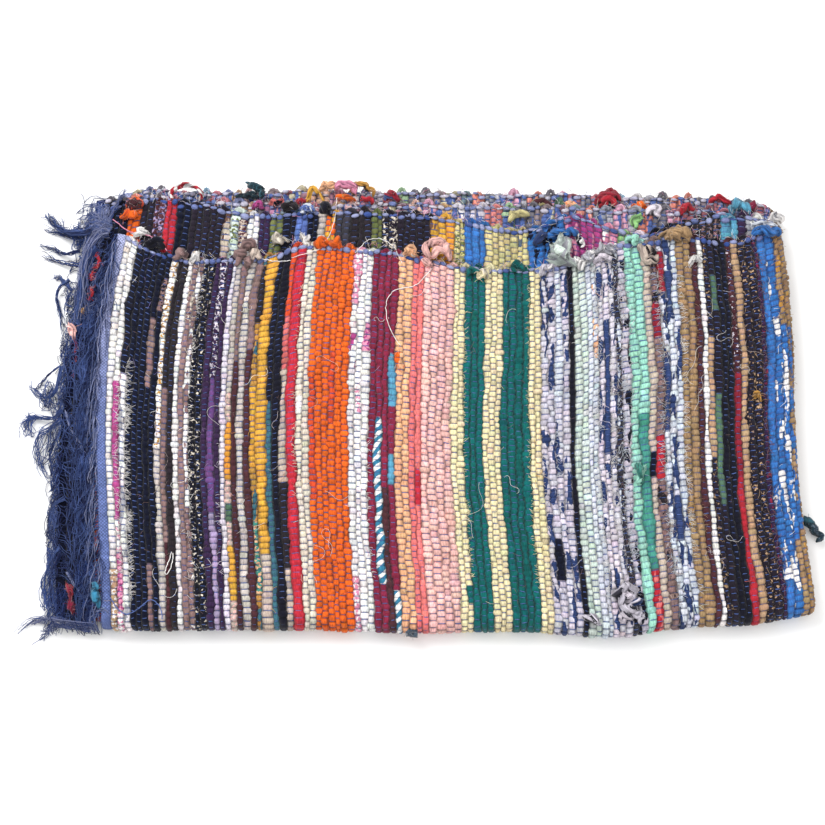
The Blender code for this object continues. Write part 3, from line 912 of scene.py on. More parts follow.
@dataclass
class NodeSheet:
    """A material's nodes, added and linked one after another."""

    tree: bpy.types.NodeTree

    def add(self, kind: str, **settings: object) -> bpy.types.Node:
        """Adds a node, sets its options and its sockets.

        Args:
            kind: The node's type.
            settings: Options by their names, and sockets as a socket or a value, by their
                names with _ for a space or by s and their number.

        Returns:
            The node.
        """
        node = self.tree.nodes.new(kind)
        for label, value in settings.items():
            if hasattr(node, label) and not label[1:].isdigit():
                setattr(node, label, value)
                continue
            if label[0] == "s" and label[1:].isdigit():
                socket = node.inputs[int(label[1:])]
            else:
                socket = node.inputs[label.replace("_", " ")]
            if isinstance(value, Socket):
                self.tree.links.new(value, socket)
            else:
                socket.default_value = value
        return node

    def sum(self, kind: str, a: object, b: object) -> Socket:
        """The result of a sum on two values."""
        return self.add("ShaderNodeMath", operation=kind, s0=a, s1=b).outputs[0]

    def blend(self, way: str, factor: object, a: object, b: object) -> Socket:
        """Two colours mixed in one of the usual ways."""
        node = self.add("ShaderNodeMix", data_type="RGBA", blend_type=way, s0=factor, s6=a, s7=b)
        return node.outputs[2]

    def span(
        self, value: object, low: float, high: float, to_low: float, to_high: float
    ) -> Socket:
        """A value taken from one span to another, held at its ends."""
        node = self.add("ShaderNodeMapRange", s0=value, s1=low, s2=high, s3=to_low, s4=to_high)
        return node.outputs[0]

    def stretch(self, where: object, by: tuple[float, float, float]) -> Socket:
        """A place scaled along each axis."""
        return self.add("ShaderNodeVectorMath", operation="MULTIPLY", s0=where, s1=by).outputs[0]

    def noise(self, where: object, scale: float, detail: float = 2.0) -> Socket:
        """The value of a noise pattern."""
        node = self.add("ShaderNodeTexNoise", Vector=where, Scale=scale, Detail=detail)
        return node.outputs[0]


# Mottles of a cloth's colour: the noise's scale and detail, its span, and the shades it takes
MOTTLES = (
    (60.0, 2.0, 0.3, 0.7, 0.88, 1.12),
    (380.0, 2.0, 0.34, 0.66, 0.90, 1.12),
)
# The scales of its printed flecks, of its fibres and of the wobble in a twisted rag's stripes
PRINT_SCALE, FIBRE_SCALE, WOBBLE_SCALE = 300.0, 1600.0, 70.0
# How its noises stretch across a strip, along it and from strip to strip
PIECE_STRETCH = (105.0, 36.0, 0.45)
FOLD_STRETCH = (1000.0, 190.0, 4.3)
# The printed share that marks a twisted rag
TWISTED_MARK = 1.5


@dataclass(frozen=True)
class ClothFinish:
    """Worn cotton cloth that reads its dyes, prints and the painted shade of its hollows from the mesh.

    weave is the pitch of its own fine weave, fuzz the weight of its sheen, ply the pitch at
    which its yarn is twisted, or 0 for a strip of cloth, and crease how deep the painted shade
    in its folds is. hollow is the painted shade colour that is left in its hollows, shown how
    clearly its threads show in colour, and spiral the pitch of the stripes on a twisted rag.
    """

    name: str
    weave: float = 0.0011
    fuzz: float = 0.16
    ply: float = 0.0
    crease: float = 0.36
    depth: float = 0.0010
    hollow_shade: tuple[float, float, float] = (0.05, 0.05, 0.09)
    shown: float = 0.10
    spiral: float = 0.0125

    def make(self) -> Finish:
        """Makes the material."""
        paint = bpy.data.materials.new(self.name)
        paint.use_nodes = True
        sheet = NodeSheet(paint.node_tree)
        shader = paint.node_tree.nodes["Principled BSDF"]
        where = sheet.add("ShaderNodeTexCoord").outputs["Object"]
        dyed = sheet.add("ShaderNodeAttribute", attribute_name="dye")
        accent = sheet.add("ShaderNodeAttribute", attribute_name="accent").outputs["Color"]
        look = sheet.add("ShaderNodeAttribute", attribute_name="look").outputs["Vector"]
        lie = sheet.add("ShaderNodeAttribute", attribute_name="lie").outputs["Vector"]
        printed, light, knitted = sheet.add("ShaderNodeSeparateXYZ", Vector=look).outputs
        across, along, _ = sheet.add("ShaderNodeSeparateXYZ", Vector=lie).outputs

        # Slanted stripes on a twisted rag
        wound = sheet.sum("GREATER_THAN", printed, TWISTED_MARK)
        printed = sheet.sum("MULTIPLY", printed, sheet.sum("SUBTRACT", 1.0, wound))
        wobble = sheet.sum("MULTIPLY", sheet.noise(where, WOBBLE_SCALE, 1.0), self.spiral)
        slant = sheet.sum("ADD", sheet.sum("ADD", along, across), wobble)
        slant = sheet.sum("MULTIPLY", slant, math.tau / self.spiral)
        wound = sheet.sum("MULTIPLY", wound, sheet.sum("GREATER_THAN", sheet.sum("SINE", slant, 0.0), 0.1))

        # Printed flecks, and long runs of a second rag
        fine = sheet.noise(where, PRINT_SCALE, 3.0)
        print_at = sheet.sum("SUBTRACT", 0.80, sheet.sum("MULTIPLY", printed, 0.62))
        prints = sheet.span(sheet.sum("SUBTRACT", fine, print_at), -0.02, 0.02, 0.0, 1.0)
        runs = sheet.noise(sheet.stretch(lie, PIECE_STRETCH), 1.0, 2.5)
        pieced_at = sheet.sum("SUBTRACT", 0.82, sheet.sum("MULTIPLY", dyed.outputs["Alpha"], 0.64))
        pieces = sheet.span(sheet.sum("SUBTRACT", runs, pieced_at), -0.008, 0.008, 0.0, 1.0)
        over = sheet.sum("MAXIMUM", sheet.sum("MAXIMUM", prints, pieces), wound)
        colour = sheet.blend("MIX", over, dyed.outputs["Color"], accent)

        # Faded and blotted at random, with painted shade in its folds and a fine mottle of its fibres
        for scale, detail, low, high, dark, pale in MOTTLES:
            mottle = sheet.span(sheet.noise(where, scale, detail), low, high, dark, pale)
            colour = sheet.blend("MULTIPLY", 1.0, colour, mottle)
        folds = sheet.noise(sheet.stretch(lie, FOLD_STRETCH), 1.0, 3.0)
        # Painted shade and light: darker in the hollows of the folds, a little lighter on their crests
        deep = sheet.span(folds, 0.32, 0.60, 1.0 - self.crease, 1.05)
        colour = sheet.blend("MULTIPLY", 1.0, colour, deep)
        fibres = sheet.noise(where, FIBRE_SCALE, 3.0)
        colour = sheet.blend("MULTIPLY", 1.0, colour, sheet.span(fibres, 0.3, 0.7, 0.88, 1.08))

        # The threads of its own fine weave, or the ply of its yarn
        if self.ply:
            lay = sheet.sum("ADD", along, sheet.sum("MULTIPLY", across, 2.0))
            threads = sheet.sum("SINE", sheet.sum("MULTIPLY", lay, math.tau / self.ply), 0.0)
        else:
            pick = sheet.sum("SINE", sheet.sum("MULTIPLY", across, math.tau / self.weave), 0.0)
            end = sheet.sum("SINE", sheet.sum("MULTIPLY", along, math.tau / self.weave), 0.0)
            threads = sheet.sum("MULTIPLY", pick, end)
        seen = sheet.span(threads, -1.0, 1.0, 1.0 - self.shown, 1.0 + 0.6 * self.shown)
        colour = sheet.blend("MULTIPLY", 1.0, colour, seen)
        # Painted shade: where the look's light is low, the colour takes its darker copy for the hollows
        shaded = sheet.blend("MULTIPLY", 1.0, colour, (*self.hollow_shade, 1.0))
        colour = sheet.blend("MIX", light, shaded, colour)
        paint.node_tree.links.new(colour, shader.inputs["Base Color"])

        # The relief of threads, fibres and folds
        threads = sheet.span(threads, -1.0, 1.0, 0.0, 0.22)
        rough_cloth = sheet.sum("ADD", threads, sheet.sum("MULTIPLY", fibres, 0.35))
        height = sheet.sum("ADD", rough_cloth, folds)
        bump = sheet.add("ShaderNodeBump", Strength=0.8, Distance=self.depth, Height=height)
        paint.node_tree.links.new(bump.outputs[0], shader.inputs["Normal"])
        rough = sheet.span(knitted, 0.0, 1.0, 0.95, 0.78)
        paint.node_tree.links.new(rough, shader.inputs["Roughness"])
        shader.inputs["Sheen Weight"].default_value = self.fuzz
        shader.inputs["Sheen Roughness"].default_value = 0.5
        shader.inputs["Specular IOR Level"].default_value = 0.12
        return paint


@dataclass(frozen=True)
class FloorFinish:
    """A plain pale floor."""

    name: str = "pale_floor"
    shade: float = 0.93

    def make(self) -> Finish:
        """Makes the material."""
        paint = bpy.data.materials.new(self.name)
        paint.use_nodes = True
        shader = paint.node_tree.nodes["Principled BSDF"]
        shader.inputs["Base Color"].default_value = (self.shade, self.shade, self.shade, 1.0)
        shader.inputs["Roughness"].default_value = 0.9
        shader.inputs["Specular IOR Level"].default_value = 0.1
        return paint


# The weave


@dataclass
class Rib:
    """One rag strip: its place in its half, and the rag at each bead along it."""

    stripe: tuple[str, int]
    number: int
    start: float
    width: float
    cuts: list[Rag]
    dyes: Array
    accents: Array


def plan_ribs(stripes: Sequence[tuple], beads: int, front: int, draw: Draw) -> list[Rib]:
    """Lays out the rag strips of a half.

    Args:
        stripes: A stripe table.
        beads: The warp steps along a strip.
        front: How many of them lie on the front.
        draw: The random draw.

    Returns:
        The strips, from the fringed end to the cross fold.
    """
    whole = sum(ribs * width for _, ribs, width, *_ in stripes)
    planned = []
    reached = 0.0
    for stripe, ribs, width, rag, main, second, joins in stripes:
        for k in range(ribs):
            cuts = [Rag(rag)] * beads
            dyes = np.tile(dye(main), (beads, 1))
            accents = np.tile(dye(second), (beads, 1))
            for rib, low, high, other, new_dye, new_accent in joins:
                if rib != k:
                    continue
                first, last = round((1.0 - high) * front), round((1.0 - low) * front)
                last = last + 3 if low == 0.0 else last
                first = 0 if high == 1.0 else first
                for bead in range(first, min(last, beads)):
                    cuts[bead] = Rag(other)
                dyes[first:last] = dye(new_dye)
                accents[first:last] = dye(new_accent)
            fade = 1.0 + 0.06 * draw.standard_normal() + 0.08 * draw.standard_normal((beads, 1))
            fade = fade + 0.03 * draw.standard_normal((beads, 3))
            size = (reached / whole, width / whole)
            planned.append(Rib((stripe, k), len(planned), *size, cuts, dyes * fade, accents))
            reached += width
    return planned


# A bead's rings: where along it each one lies, and the share of the pinch kept there
BEAD_STEPS = ((0.0, 1.0), (0.21, 0.10), (0.79, 0.10))
COARSE_STEPS = ((0.0, 1.0),)
RING_ACROSS = np.array([-1.0, -0.88, -0.46, 0.46, 0.88, 1.0])
RING_UP = np.array([0.0, 0.62, 1.0, 1.0, 0.62, 0.0])
# Painted light across a bead's ring: shade painted at the strip's sides, full light on its crown. A hidden
# face's beads take their painted light from COARSE_UP
RING_LIGHT = np.array([0.0, 0.55, 1.0, 1.0, 0.55, 0.0])
COARSE_ACROSS = np.array([-1.0, -0.55, 0.55, 1.0])
COARSE_UP = np.array([0.0, 1.0, 1.0, 0.0])
# The same for a warp thread over a strip, and for the thick one beside a selvedge. Their light rows are
# painted shade at their ends, between the strips
THREAD_ACROSS = np.array([-1.06, -0.52, 0.52, 1.06])
THREAD_UP = np.array([0.30, 1.0, 1.0, 0.30])
THREAD_OVER = np.array([0.0, 0.5, 0.5, 0.0])
THREAD_LIGHT = np.array([0.35, 1.0, 1.0, 0.35])
CORD_ACROSS = np.array([-1.04, -0.66, 0.0, 0.66, 1.04])
CORD_RADIUS = np.array([0.22, 0.80, 1.06, 0.80, 0.22])
CORD_LIGHT = np.array([0.45, 0.9, 1.0, 0.9, 0.45])
# From a smooth selvedge to a rough one: the radius of its thick warp and how far that rises
CORD_SIZE, CORD_RISE = (0.00205, 0.00135), 0.0022
# The same for its turned rags: how far they reach out and how far they rise. Then their greatest
# radius, their steps and sides, and their flatness, twist and crease
TURN_REACH, TURN_RISE = (0.0020, 0.0032), 0.0016
TURN_SIZE, TURN_STEPS, TURN_SHAPE = 0.0042, 7, (0.66, 0.4, 0.16)
# How far a strip opens between its warp threads, and the painted light that is left where it is pinched, in
# woven and in knitted rag
OPEN_WIDTH = 1.16
PINCH_LIGHT, SMOOTH_LIGHT = 0.35, 0.85
# A strip's first and last beads: the warp steps in which they rise, and their least height
END_STEPS, END_START, END_HEIGHT = 0.6, 0.35, 0.75
# The height of every other bead on a hidden face
COARSE_DIP = 0.72


@dataclass
class Weave:
    """The rag strips of one half and the warp threads that cross them.

    rise is how far a strip stands over the cloth's plain face. wander and quiver are how
    far its width and its edges stray, slowly and from bead to bead, and swell how far its
    height does, as shares. bulges is the share of beads that bulge, by the share bulge, and
    thread the radius of a warp thread.
    """

    pack: FoldedPack
    half: Half
    ribs: list[Rib]
    length: float
    draw: Draw
    rise: float = 0.0008
    wander: float = 0.13
    quiver: float = 0.30
    swell: float = 0.11
    bulges: float = 0.07
    bulge: float = 0.28
    thread: float = 0.00042
    waves: Array = field(init=False)

    def __post_init__(self) -> None:
        """Draws the waves in which each strip and each edge strays."""
        shape = (len(self.ribs) + 1, 4)
        self.waves = np.stack(
            [
                self.draw.uniform(0.03, 0.15, shape),
                self.draw.uniform(0.0, math.tau, shape),
                np.exp(self.draw.uniform(-2.2, 0.45, shape)),
                self.draw.uniform(0.0, math.tau, shape),
            ]
        )

    def tones(self, share: Array, walk: Array) -> Array:
        """The dyes of the rags at places on the half.

        Args:
            share: The shares of its length.
            walk: The walks along the strips.

        Returns:
            Colours of (walks, shares, 3).
        """
        owner = np.searchsorted([rib.start for rib in self.ribs], share, side="right") - 1
        dyes = np.stack([rib.dyes for rib in self.ribs])
        bead = self.pack.bead_at(self.half, walk).astype(int)
        return dyes[owner[None], np.minimum(bead, dyes.shape[1] - 1)[:, None]]

    def edges(self, at: Array) -> Array:
        """The edges of all strips, as shares of the half's length, at warp steps.

        Args:
            at: The warp steps, counted from the front selvedge.

        Returns:
            Shares of (steps, strips + 1).
        """
        slow, slow_phase, fast, fast_phase = self.waves
        swing = np.sin(at[:, None, None] * slow[None] + slow_phase[None]).mean(axis=-1)
        plain = np.array([rib.width for rib in self.ribs])
        widths = plain[None] * (1.0 + self.wander * swing[:, 1:])
        reached = np.cumsum(widths, axis=1)
        edges = np.concatenate([np.zeros((len(at), 1)), reached], axis=1) / reached[:, -1:]
        quiver = np.sin(at[:, None, None] * fast[None] + fast_phase[None]).mean(axis=-1)
        near = np.minimum(np.append(plain, plain[-1]), np.append(plain[0], plain))
        edges = edges + self.quiver * near[None] * quiver
        edges[:, 0], edges[:, -1] = 0.0, 1.0
        return edges

    def add_rib(
        self, stock: MeshStock, rib: Rib, first: float, last: float, side: int, coarse: bool = False
    ) -> None:
        """Adds a stretch of one rag strip, a row of beads.

        Args:
            stock: Where the mesh is gathered.
            rib: The strip.
            first: The warp step at which the stretch starts.
            last: The warp step at which it ends.
            side: 1 on the outward face of the cloth, -1 on the inward one.
            coarse: True gives the plain beads of a face that is hidden.
        """
        steps = COARSE_STEPS if coarse else BEAD_STEPS
        across, up = (COARSE_ACROSS, COARSE_UP) if coarse else (RING_ACROSS, RING_UP)
        offset = 0.5 * (rib.number % 2)
        pace = 2 if coarse else 1
        numbers = np.arange(math.floor(first - offset), math.ceil(last - offset) + 1, pace)
        at = (numbers[:, None] + np.array([s for s, _ in steps])[None] + offset).ravel()
        pinched = np.tile([p for _, p in steps], len(numbers))
        owner = np.clip(np.repeat(numbers + offset, len(steps)).astype(int), 0, len(rib.cuts) - 1)
        jitter = self.draw.standard_normal((len(numbers), 3))
        bulge = np.where(self.draw.random(len(numbers)) < self.bulges, self.bulge, 0.0)
        keep = (at >= first) & (at <= last)
        grow = np.repeat(jitter, len(steps), axis=0)[keep]
        bulge = np.repeat(bulge, len(steps))[keep]
        at, pinched, owner = at[keep], pinched[keep], owner[keep]

        cuts = [CUTS[rib.cuts[k]] for k in owner]
        pinch, narrow, uneven, printed, pieced, smoothness = (
            np.array([getattr(cut, name) for cut in cuts])
            for name in ("pinch", "narrow", "uneven", "printed", "pieced", "smooth")
        )
        open_share = 1.0 - pinched
        near_end = np.minimum(at - first, last - at)
        ends = smooth(near_end / END_STEPS + END_START) if first <= 0.0 else np.ones_like(at)
        _, phase, fast, _ = self.waves[:, rib.number]
        swing = np.sin(at[:, None] * 0.5 * fast[None] + phase[None]).mean(axis=-1)
        high = (HALF_THICK + self.rise * (1.0 + 0.5 * np.sin(3.0 * phase[0])))
        swung = 1.0 + 2.0 * self.swell * swing * (1.0 - 0.5 * smoothness)
        high = high * swung * mix(pinch, 1.0, open_share)
        high = high * (1.0 + open_share * (uneven * grow[:, 0] + bulge)) * mix(END_HEIGHT, 1.0, ends)
        wide = mix(narrow, OPEN_WIDTH, open_share) * (1.0 + open_share * (0.6 * uneven * grow[:, 1] + bulge))
        if coarse:
            high = high * mix(1.0, COARSE_DIP, (np.round(at / pace).astype(int) + rib.number) % 2)

        walk = self.pack.walk_at(self.half, at)
        edges = self.edges(at)
        left, right = edges[:, rib.number], edges[:, rib.number + 1]
        middle = (left + right) / 2 + (right - left) * 0.40 * uneven * grow[:, 2]
        reach = (right - left) / 2 * wide
        share = middle[:, None] + reach[:, None] * across[None]
        lift = side * high[:, None] * up[None]
        rings = self.pack.place(self.half, share, walk[:, None], lift)

        # Painted shade: darker at a strip's sides and where a warp thread pinches it
        ring_light = up if coarse else RING_LIGHT
        light = ring_light[None] * mix(mix(PINCH_LIGHT, SMOOTH_LIGHT, smoothness), 1.0, open_share)[:, None]
        colours = np.broadcast_to(rib.dyes[owner][:, None], (len(at), len(across), 3))
        look = spread(printed[:, None], light, smoothness[:, None])
        lie = spread(share * self.length, at[:, None] * WARP_GAP, float(rib.number))
        accents = np.broadcast_to(rib.accents[owner][:, None], colours.shape)
        flip = (self.half is not Half.INNER) == (side > 0)
        stock.add_tubes(
            rings[None], colours[None], accents[None], look[None], lie[None], flip, pieced[:, None]
        )

    def add_threads(
        self, stock: MeshStock, rib: Rib, first: float, last: float, side: int, swell: float = 1.0
    ) -> None:
        """Adds the warp threads that cross a stretch of a rag strip.

        Args:
            stock: Where the mesh is gathered.
            rib: The strip.
            first: The warp step at which the stretch starts.
            last: The warp step at which it ends.
            side: 1 on the outward face of the cloth, -1 on the inward one.
            swell: How much thicker than a plain thread they are.
        """
        offset = 0.5 * (rib.number % 2)
        at = np.arange(math.ceil(first - offset), math.floor(last - offset) + 1) + offset
        if not len(at):
            return
        edges = self.edges(at)
        left, right = edges[:, rib.number], edges[:, rib.number + 1]
        owner = np.clip(at.astype(int), 0, len(rib.cuts) - 1)
        pinch = np.array([CUTS[rib.cuts[k]].pinch for k in owner])
        high = (HALF_THICK + self.rise) * pinch
        thick = self.thread * swell * self.draw.uniform(0.85, 1.25, len(at))
        across = THREAD_ACROSS[None] * np.where(pinch > 0.7, 0.84, 1.0)[:, None]
        share = (left + right)[:, None] / 2 + (right - left)[:, None] / 2 * across
        lift = high[:, None] * THREAD_UP[None] + thick[:, None] * THREAD_OVER[None]
        turn = math.tau * (np.arange(3) + 0.75) / 3.0
        shift = thick[:, None, None] * np.cos(turn)[None, None] / WARP_GAP
        shift = shift + self.draw.normal(0.0, 0.05, (len(at), 4, 1))
        walks = self.pack.walk_at(self.half, np.maximum(at[:, None, None] + shift, 0.0))
        lifts = side * (lift[..., None] - thick[:, None, None] * np.sin(turn)[None, None])
        rings = self.pack.place(self.half, share[..., None], walks, lifts)
        tint = mix(dye("denim"), dye("navy_blue"), self.draw.uniform(0.0, 0.55, (len(at), 1)))
        # Painted shade at the thread's ends, where it dives between the strips
        look = spread(0.0, THREAD_LIGHT[:, None], 0.0)
        lie = spread(at[:, None, None] * WARP_GAP, share[..., None] * self.length, 0.0)
        tinted = tint[:, None, None]
        flip = (self.half is not Half.INNER) != (side > 0)
        stock.add_tubes(rings, tinted, tinted, look, lie, flip)

    def add_heavy_warp(self, stock: MeshStock, bead: float, side: int, rough: float) -> None:
        """Adds the thick warp that bulges over each strip beside a selvedge.

        Args:
            stock: Where the mesh is gathered.
            bead: The warp step at which it lies.
            side: 1 on the outward face of the cloth, -1 on the inward one.
            rough: How unevenly it stands, from 0 to 1.
        """
        count = len(self.ribs)
        edges = self.edges(np.array([bead]))[0]
        left, right = edges[:-1, None], edges[1:, None]
        stray = self.draw.normal(0.0, 1.0, (4, count, 1))
        across = CORD_ACROSS[None]
        share = (left + right) / 2 + (right - left) / 2 * across
        size = mix(*CORD_SIZE, rough) * np.clip(1.0 + 0.24 * stray[0], 0.45, 1.6)
        radius = size * CORD_RADIUS[None]
        turn = math.tau * np.arange(6) / 6.0
        step = bead + (0.16 + 0.22 * rough) * stray[1] + 0.06 * stray[2] * across
        walks = step[..., None] + 1.45 * radius[..., None] * np.cos(turn) / WARP_GAP
        high = HALF_THICK + self.rise * 0.7 + CORD_RISE * rough * np.abs(stray[3])
        lifts = side * (high[..., None] + 0.9 * radius[..., None] * np.sin(turn))
        rings = self.pack.place(self.half, share[..., None], self.pack.walk_at(self.half, walks), lifts)
        pale, deep = ("lilac_grey", "denim") if rough > 0.6 else ("periwinkle", "warp_blue")
        tint = mix(dye(pale), dye(deep), self.draw.uniform(0.0, 1.0, (count, 1, 1, 1)))
        # Painted shade at the cord's ends, where it dives between the strips
        look = spread(0.0, CORD_LIGHT[:, None], 0.0)
        lie = spread(walks * WARP_GAP, share[..., None] * self.length, 0.0)
        flip = (self.half is not Half.INNER) == (side > 0)
        stock.add_tubes(rings, tint, tint, look, lie, flip)

    def add_rag_turns(self, stock: MeshStock, bead: float, owner: int, side: int, rough: float) -> None:
        """Adds the loops in which the rag strips turn back at a selvedge.

        Args:
            stock: Where the mesh is gathered.
            bead: The warp step at which they leave the cloth.
            owner: The bead whose dye they have.
            side: 1 on the outward face of the cloth, -1 on the inward one.
            rough: How unevenly they stand, from 0 to 1.
        """
        edges = self.edges(np.array([bead]))[0]
        middle = (edges[:-1] + edges[1:]) / 2
        start = np.arange(0, len(self.ribs) - 1, 2)
        walk = self.pack.walk_at(self.half, np.array(bead))
        lift = side * (HALF_THICK - 0.0006)
        low = self.pack.place(self.half, middle[start], walk, lift)[:, None]
        high = self.pack.place(self.half, middle[start + 1], walk, lift)[:, None]
        stray = self.draw.normal(0.0, 1.0, (3, len(start), 1))
        angle = np.linspace(0.0, math.pi, TURN_STEPS)[None, :]
        path = mix(low, high, (0.5 - 0.5 * np.cos(angle))[..., None])
        reach = mix(*TURN_REACH, rough) * np.clip(1.0 + (0.30 + 0.50 * rough) * stray[0], 0.2, 2.2)
        path[..., 1] += reach * np.sin(angle)
        path[..., 2] += TURN_RISE * rough * np.abs(stray[1]) * np.sin(angle)
        width = (middle[start + 1] - middle[start])[:, None] * self.length
        swell = 0.42 * width * np.clip(1.0 + 0.18 * stray[2], 0.6, 1.35)
        radius = np.minimum(swell, TURN_SIZE) * (0.80 + 0.20 * np.sin(angle))
        rings = tube_rings(path, radius, TURN_STEPS, *TURN_SHAPE)
        rings[..., 2] = np.maximum(rings[..., 2], FIT_GAP)
        tint = np.array([self.ribs[k].dyes[owner] for k in start])[:, None, None]
        accent = np.array([self.ribs[k].accents[owner] for k in start])[:, None, None]
        sides = np.arange(TURN_STEPS)
        lie = spread(sides * 0.0028, (angle * 0.0035)[..., None], start[:, None, None])
        # Painted light and shade in waves around the turned rag, for its folds
        look = spread(0.05, 0.74 + 0.26 * np.sin(math.tau * sides / TURN_STEPS * 3.0), 0.3)
        stock.add_tubes(rings, tint, accent, look, lie)


@dataclass
class Ground:
    """The thin woven sheet under the rag strips, through all four layers.

    It has the folds of the solid, and a trough between its neighbouring ribs. Its colour is
    painted shade for the gaps between the ribs: the dyes of the rags over it, mixed towards
    the dye colour by the share shade.
    """

    pack: FoldedPack
    thick: float = 0.0030
    trough: float = 0.0003
    columns: int = 110
    rows: int = 40
    turned: int = 8
    # Painted shade: the dark dye that the rags' dyes are mixed towards, and how far
    colour: str = "ink"
    shade: float = 0.60

    def build(self, finish: Finish, outer: "Weave", inner: "Weave") -> Thing:
        """Makes the sheet, one closed mesh.

        Args:
            finish: Its material.
            outer: The weave of the outer half.
            inner: The weave of the inner half.

        Returns:
            The sheet's object.
        """
        walk = even_walks(self.rows // 2, self.turned)
        sections = []
        for side in (1, -1):
            legs = []
            for half, low, high, count in (
                (Half.OUTER, 0.0, 1.0, self.columns),
                (Half.TURN, 0.0, 1.0, self.turned),
                (Half.INNER, 1.0, 0.0, self.columns),
            ):
                share = np.linspace(low, high, count)[None]
                lift = side * (self.thick / 2 - self.trough * (np.arange(count) % 2))[None]
                legs.append(self.pack.place(half, share, walk[:, None], lift))
            legs[1] = legs[1][:, 1:-1]
            sections.append(np.concatenate(legs, axis=1))
        shares = np.linspace(0.0, 1.0, self.columns)
        middle = np.broadcast_to(dye("khaki"), (len(walk), self.turned - 2, 3))
        tones = [outer.tones(shares, walk), middle, inner.tones(shares[::-1], walk)]
        tones = np.concatenate(tones, axis=1)
        around = np.concatenate([sections[0], sections[1][:, ::-1]], axis=1)
        # Painted shade: a darkened copy of the dyes of the rags over it
        tint = mix(np.concatenate([tones, tones[:, ::-1]], axis=1), dye(self.colour), self.shade)[None]
        stock = MeshStock()
        lie = spread(np.arange(around.shape[1]) * GROUND_STEP, walk[:, None] * LEG_LENGTH, 0.0)
        stock.add_tubes(around[None], tint, tint, GROUND_LOOK, lie, True)
        sheet = stock.build("cloth_ground", finish)
        self.close_ends(sheet, around.shape[1])
        return sheet

    def close_ends(self, sheet: Thing, around: int) -> None:
        """Closes the selvedges with strips between the two faces, in place of the fan caps.

        Args:
            sheet: The sheet's object.
            around: The points of its section.
        """
        work = bmesh.new()
        work.from_mesh(sheet.data)
        work.verts.ensure_lookup_table()
        fans = [face for face in work.faces if len(face.verts) == 3]
        bmesh.ops.delete(work, geom=fans, context="FACES_ONLY")
        work.verts.ensure_lookup_table()
        total = len(work.verts)
        for start, turned in ((0, False), (total - around, True)):
            for i in range(around // 2 - 1):
                near, far = start + i, start + around - 1 - i
                ring = [near, near + 1, far - 1, far]
                corners = [work.verts[k] for k in (ring if turned else ring[::-1])]
                work.faces.new(corners)
        bmesh.ops.recalc_face_normals(work, faces=work.faces)
        work.to_mesh(sheet.data)
        work.free()
        sheet.data.shade_smooth()


# The headings and fringes


@dataclass
class Heading:
    """The plain-woven blue strip at one fringed end."""

    pack: FoldedPack
    name: str
    column: int
    depth: float
    low_dye: str
    high_dye: str
    ridge: float = 0.00030
    ridges: int = 240

    def build(self, finish: Finish, draw: Draw) -> Thing:
        """Makes the strip with a fine ridge for each pair of warp threads.

        Args:
            finish: Its material.
            draw: The random draw.

        Returns:
            The strip's object.
        """
        walk = even_walks(self.ridges, self.ridges // 10)
        up = self.pack.share_up(walk)
        left = self.pack.end_x(up, self.column)
        inner = np.full_like(left, float(self.column == INNER_END))
        across = np.array([0.0, 0.25, 0.5, 0.75, 1.0])
        ridge = self.ridge * (np.arange(len(walk)) % 2 * 2.0 - 1.0)
        stagger = np.array([1.0, -1.0, 1.0, -1.0, 1.0])
        rings = []
        for side, order in ((1.0, across), (-1.0, across[::-1])):
            for k, share in enumerate(order):
                worn = 0.0006 * np.abs(2.0 * share - 1.0) ** 3
                rise = HEADING_THICK / 2 - worn + ridge * stagger[k]
                under = walk >= FLOOR_WALK
                rise = np.where(under & (side > 0) & (self.column == OUTER_END), HEADING_THICK, rise)
                x = left + share * HEADING_WIDTH
                depth = self.depth + side * np.where(under, np.minimum(rise, HEADING_THICK), rise)
                rings.append(self.pack.sweep(x, depth, inner, walk))
        around = np.stack(rings, axis=1)
        fade = draw.normal(1.0, 0.09, (1, len(walk), 1, 1))
        rise = smooth((up - 0.40) / 0.55)[None, :, None, None]
        tint = mix(dye(self.low_dye), dye(self.high_dye), rise) * fade
        lie = spread(np.concatenate([across, across[::-1]]) * HEADING_WIDTH, walk[:, None] * LEG_LENGTH, 0.0)
        stock = MeshStock()
        stock.add_tubes(around[None], tint, tint, HEADING_LOOK, lie, True)
        return stock.build(self.name, finish)


@dataclass(frozen=True)
class Fall:
    """How the warp ends of one layer lie past its heading, in metres.

    out and down are the spans of how far they reach to the left and towards the front, stack
    is the span of their height over what they lie on, light and dark are the dyes of the
    lightest and the darkest, and curl is the size of their waves.
    """

    layer: Layer
    yarns: int
    out: tuple[float, float]
    down: tuple[float, float]
    stack: tuple[float, float]
    light: str
    dark: str
    curl: float


# How the yarns of each layer fall
# layer, yarns, out, down and stack in metres, light dye, dark dye, curl in metres
FALLS = [Fall(Layer[layer], *rest) for layer, *rest in read_rows("""
    FRONT_OUTER 350 0,0.034 0.014,0.115 0.0003,0.006 denim warp_dark 0.0062
    FRONT_INNER 170 0,0.013 0.016,0.07 0.0004,0.007 denim warp_dark 0.0046
    FRONT_INNER 150 -0.027,0 0.01,0.07 0.0006,0.004 denim warp_dark 0.005
    BACK_INNER 120 0.002,0.015 0.01,0.07 0.0004,0.006 denim warp_dark 0.005
    BACK_OUTER 100 0.034,0.052 -0.006,0.05 0,0.003 warp_blue warp_dark 0.005
    FRONT_OUTER 90 -0.001,0.012 0.03,0.11 0.005,0.009 periwinkle heading_blue 0.003
""")]

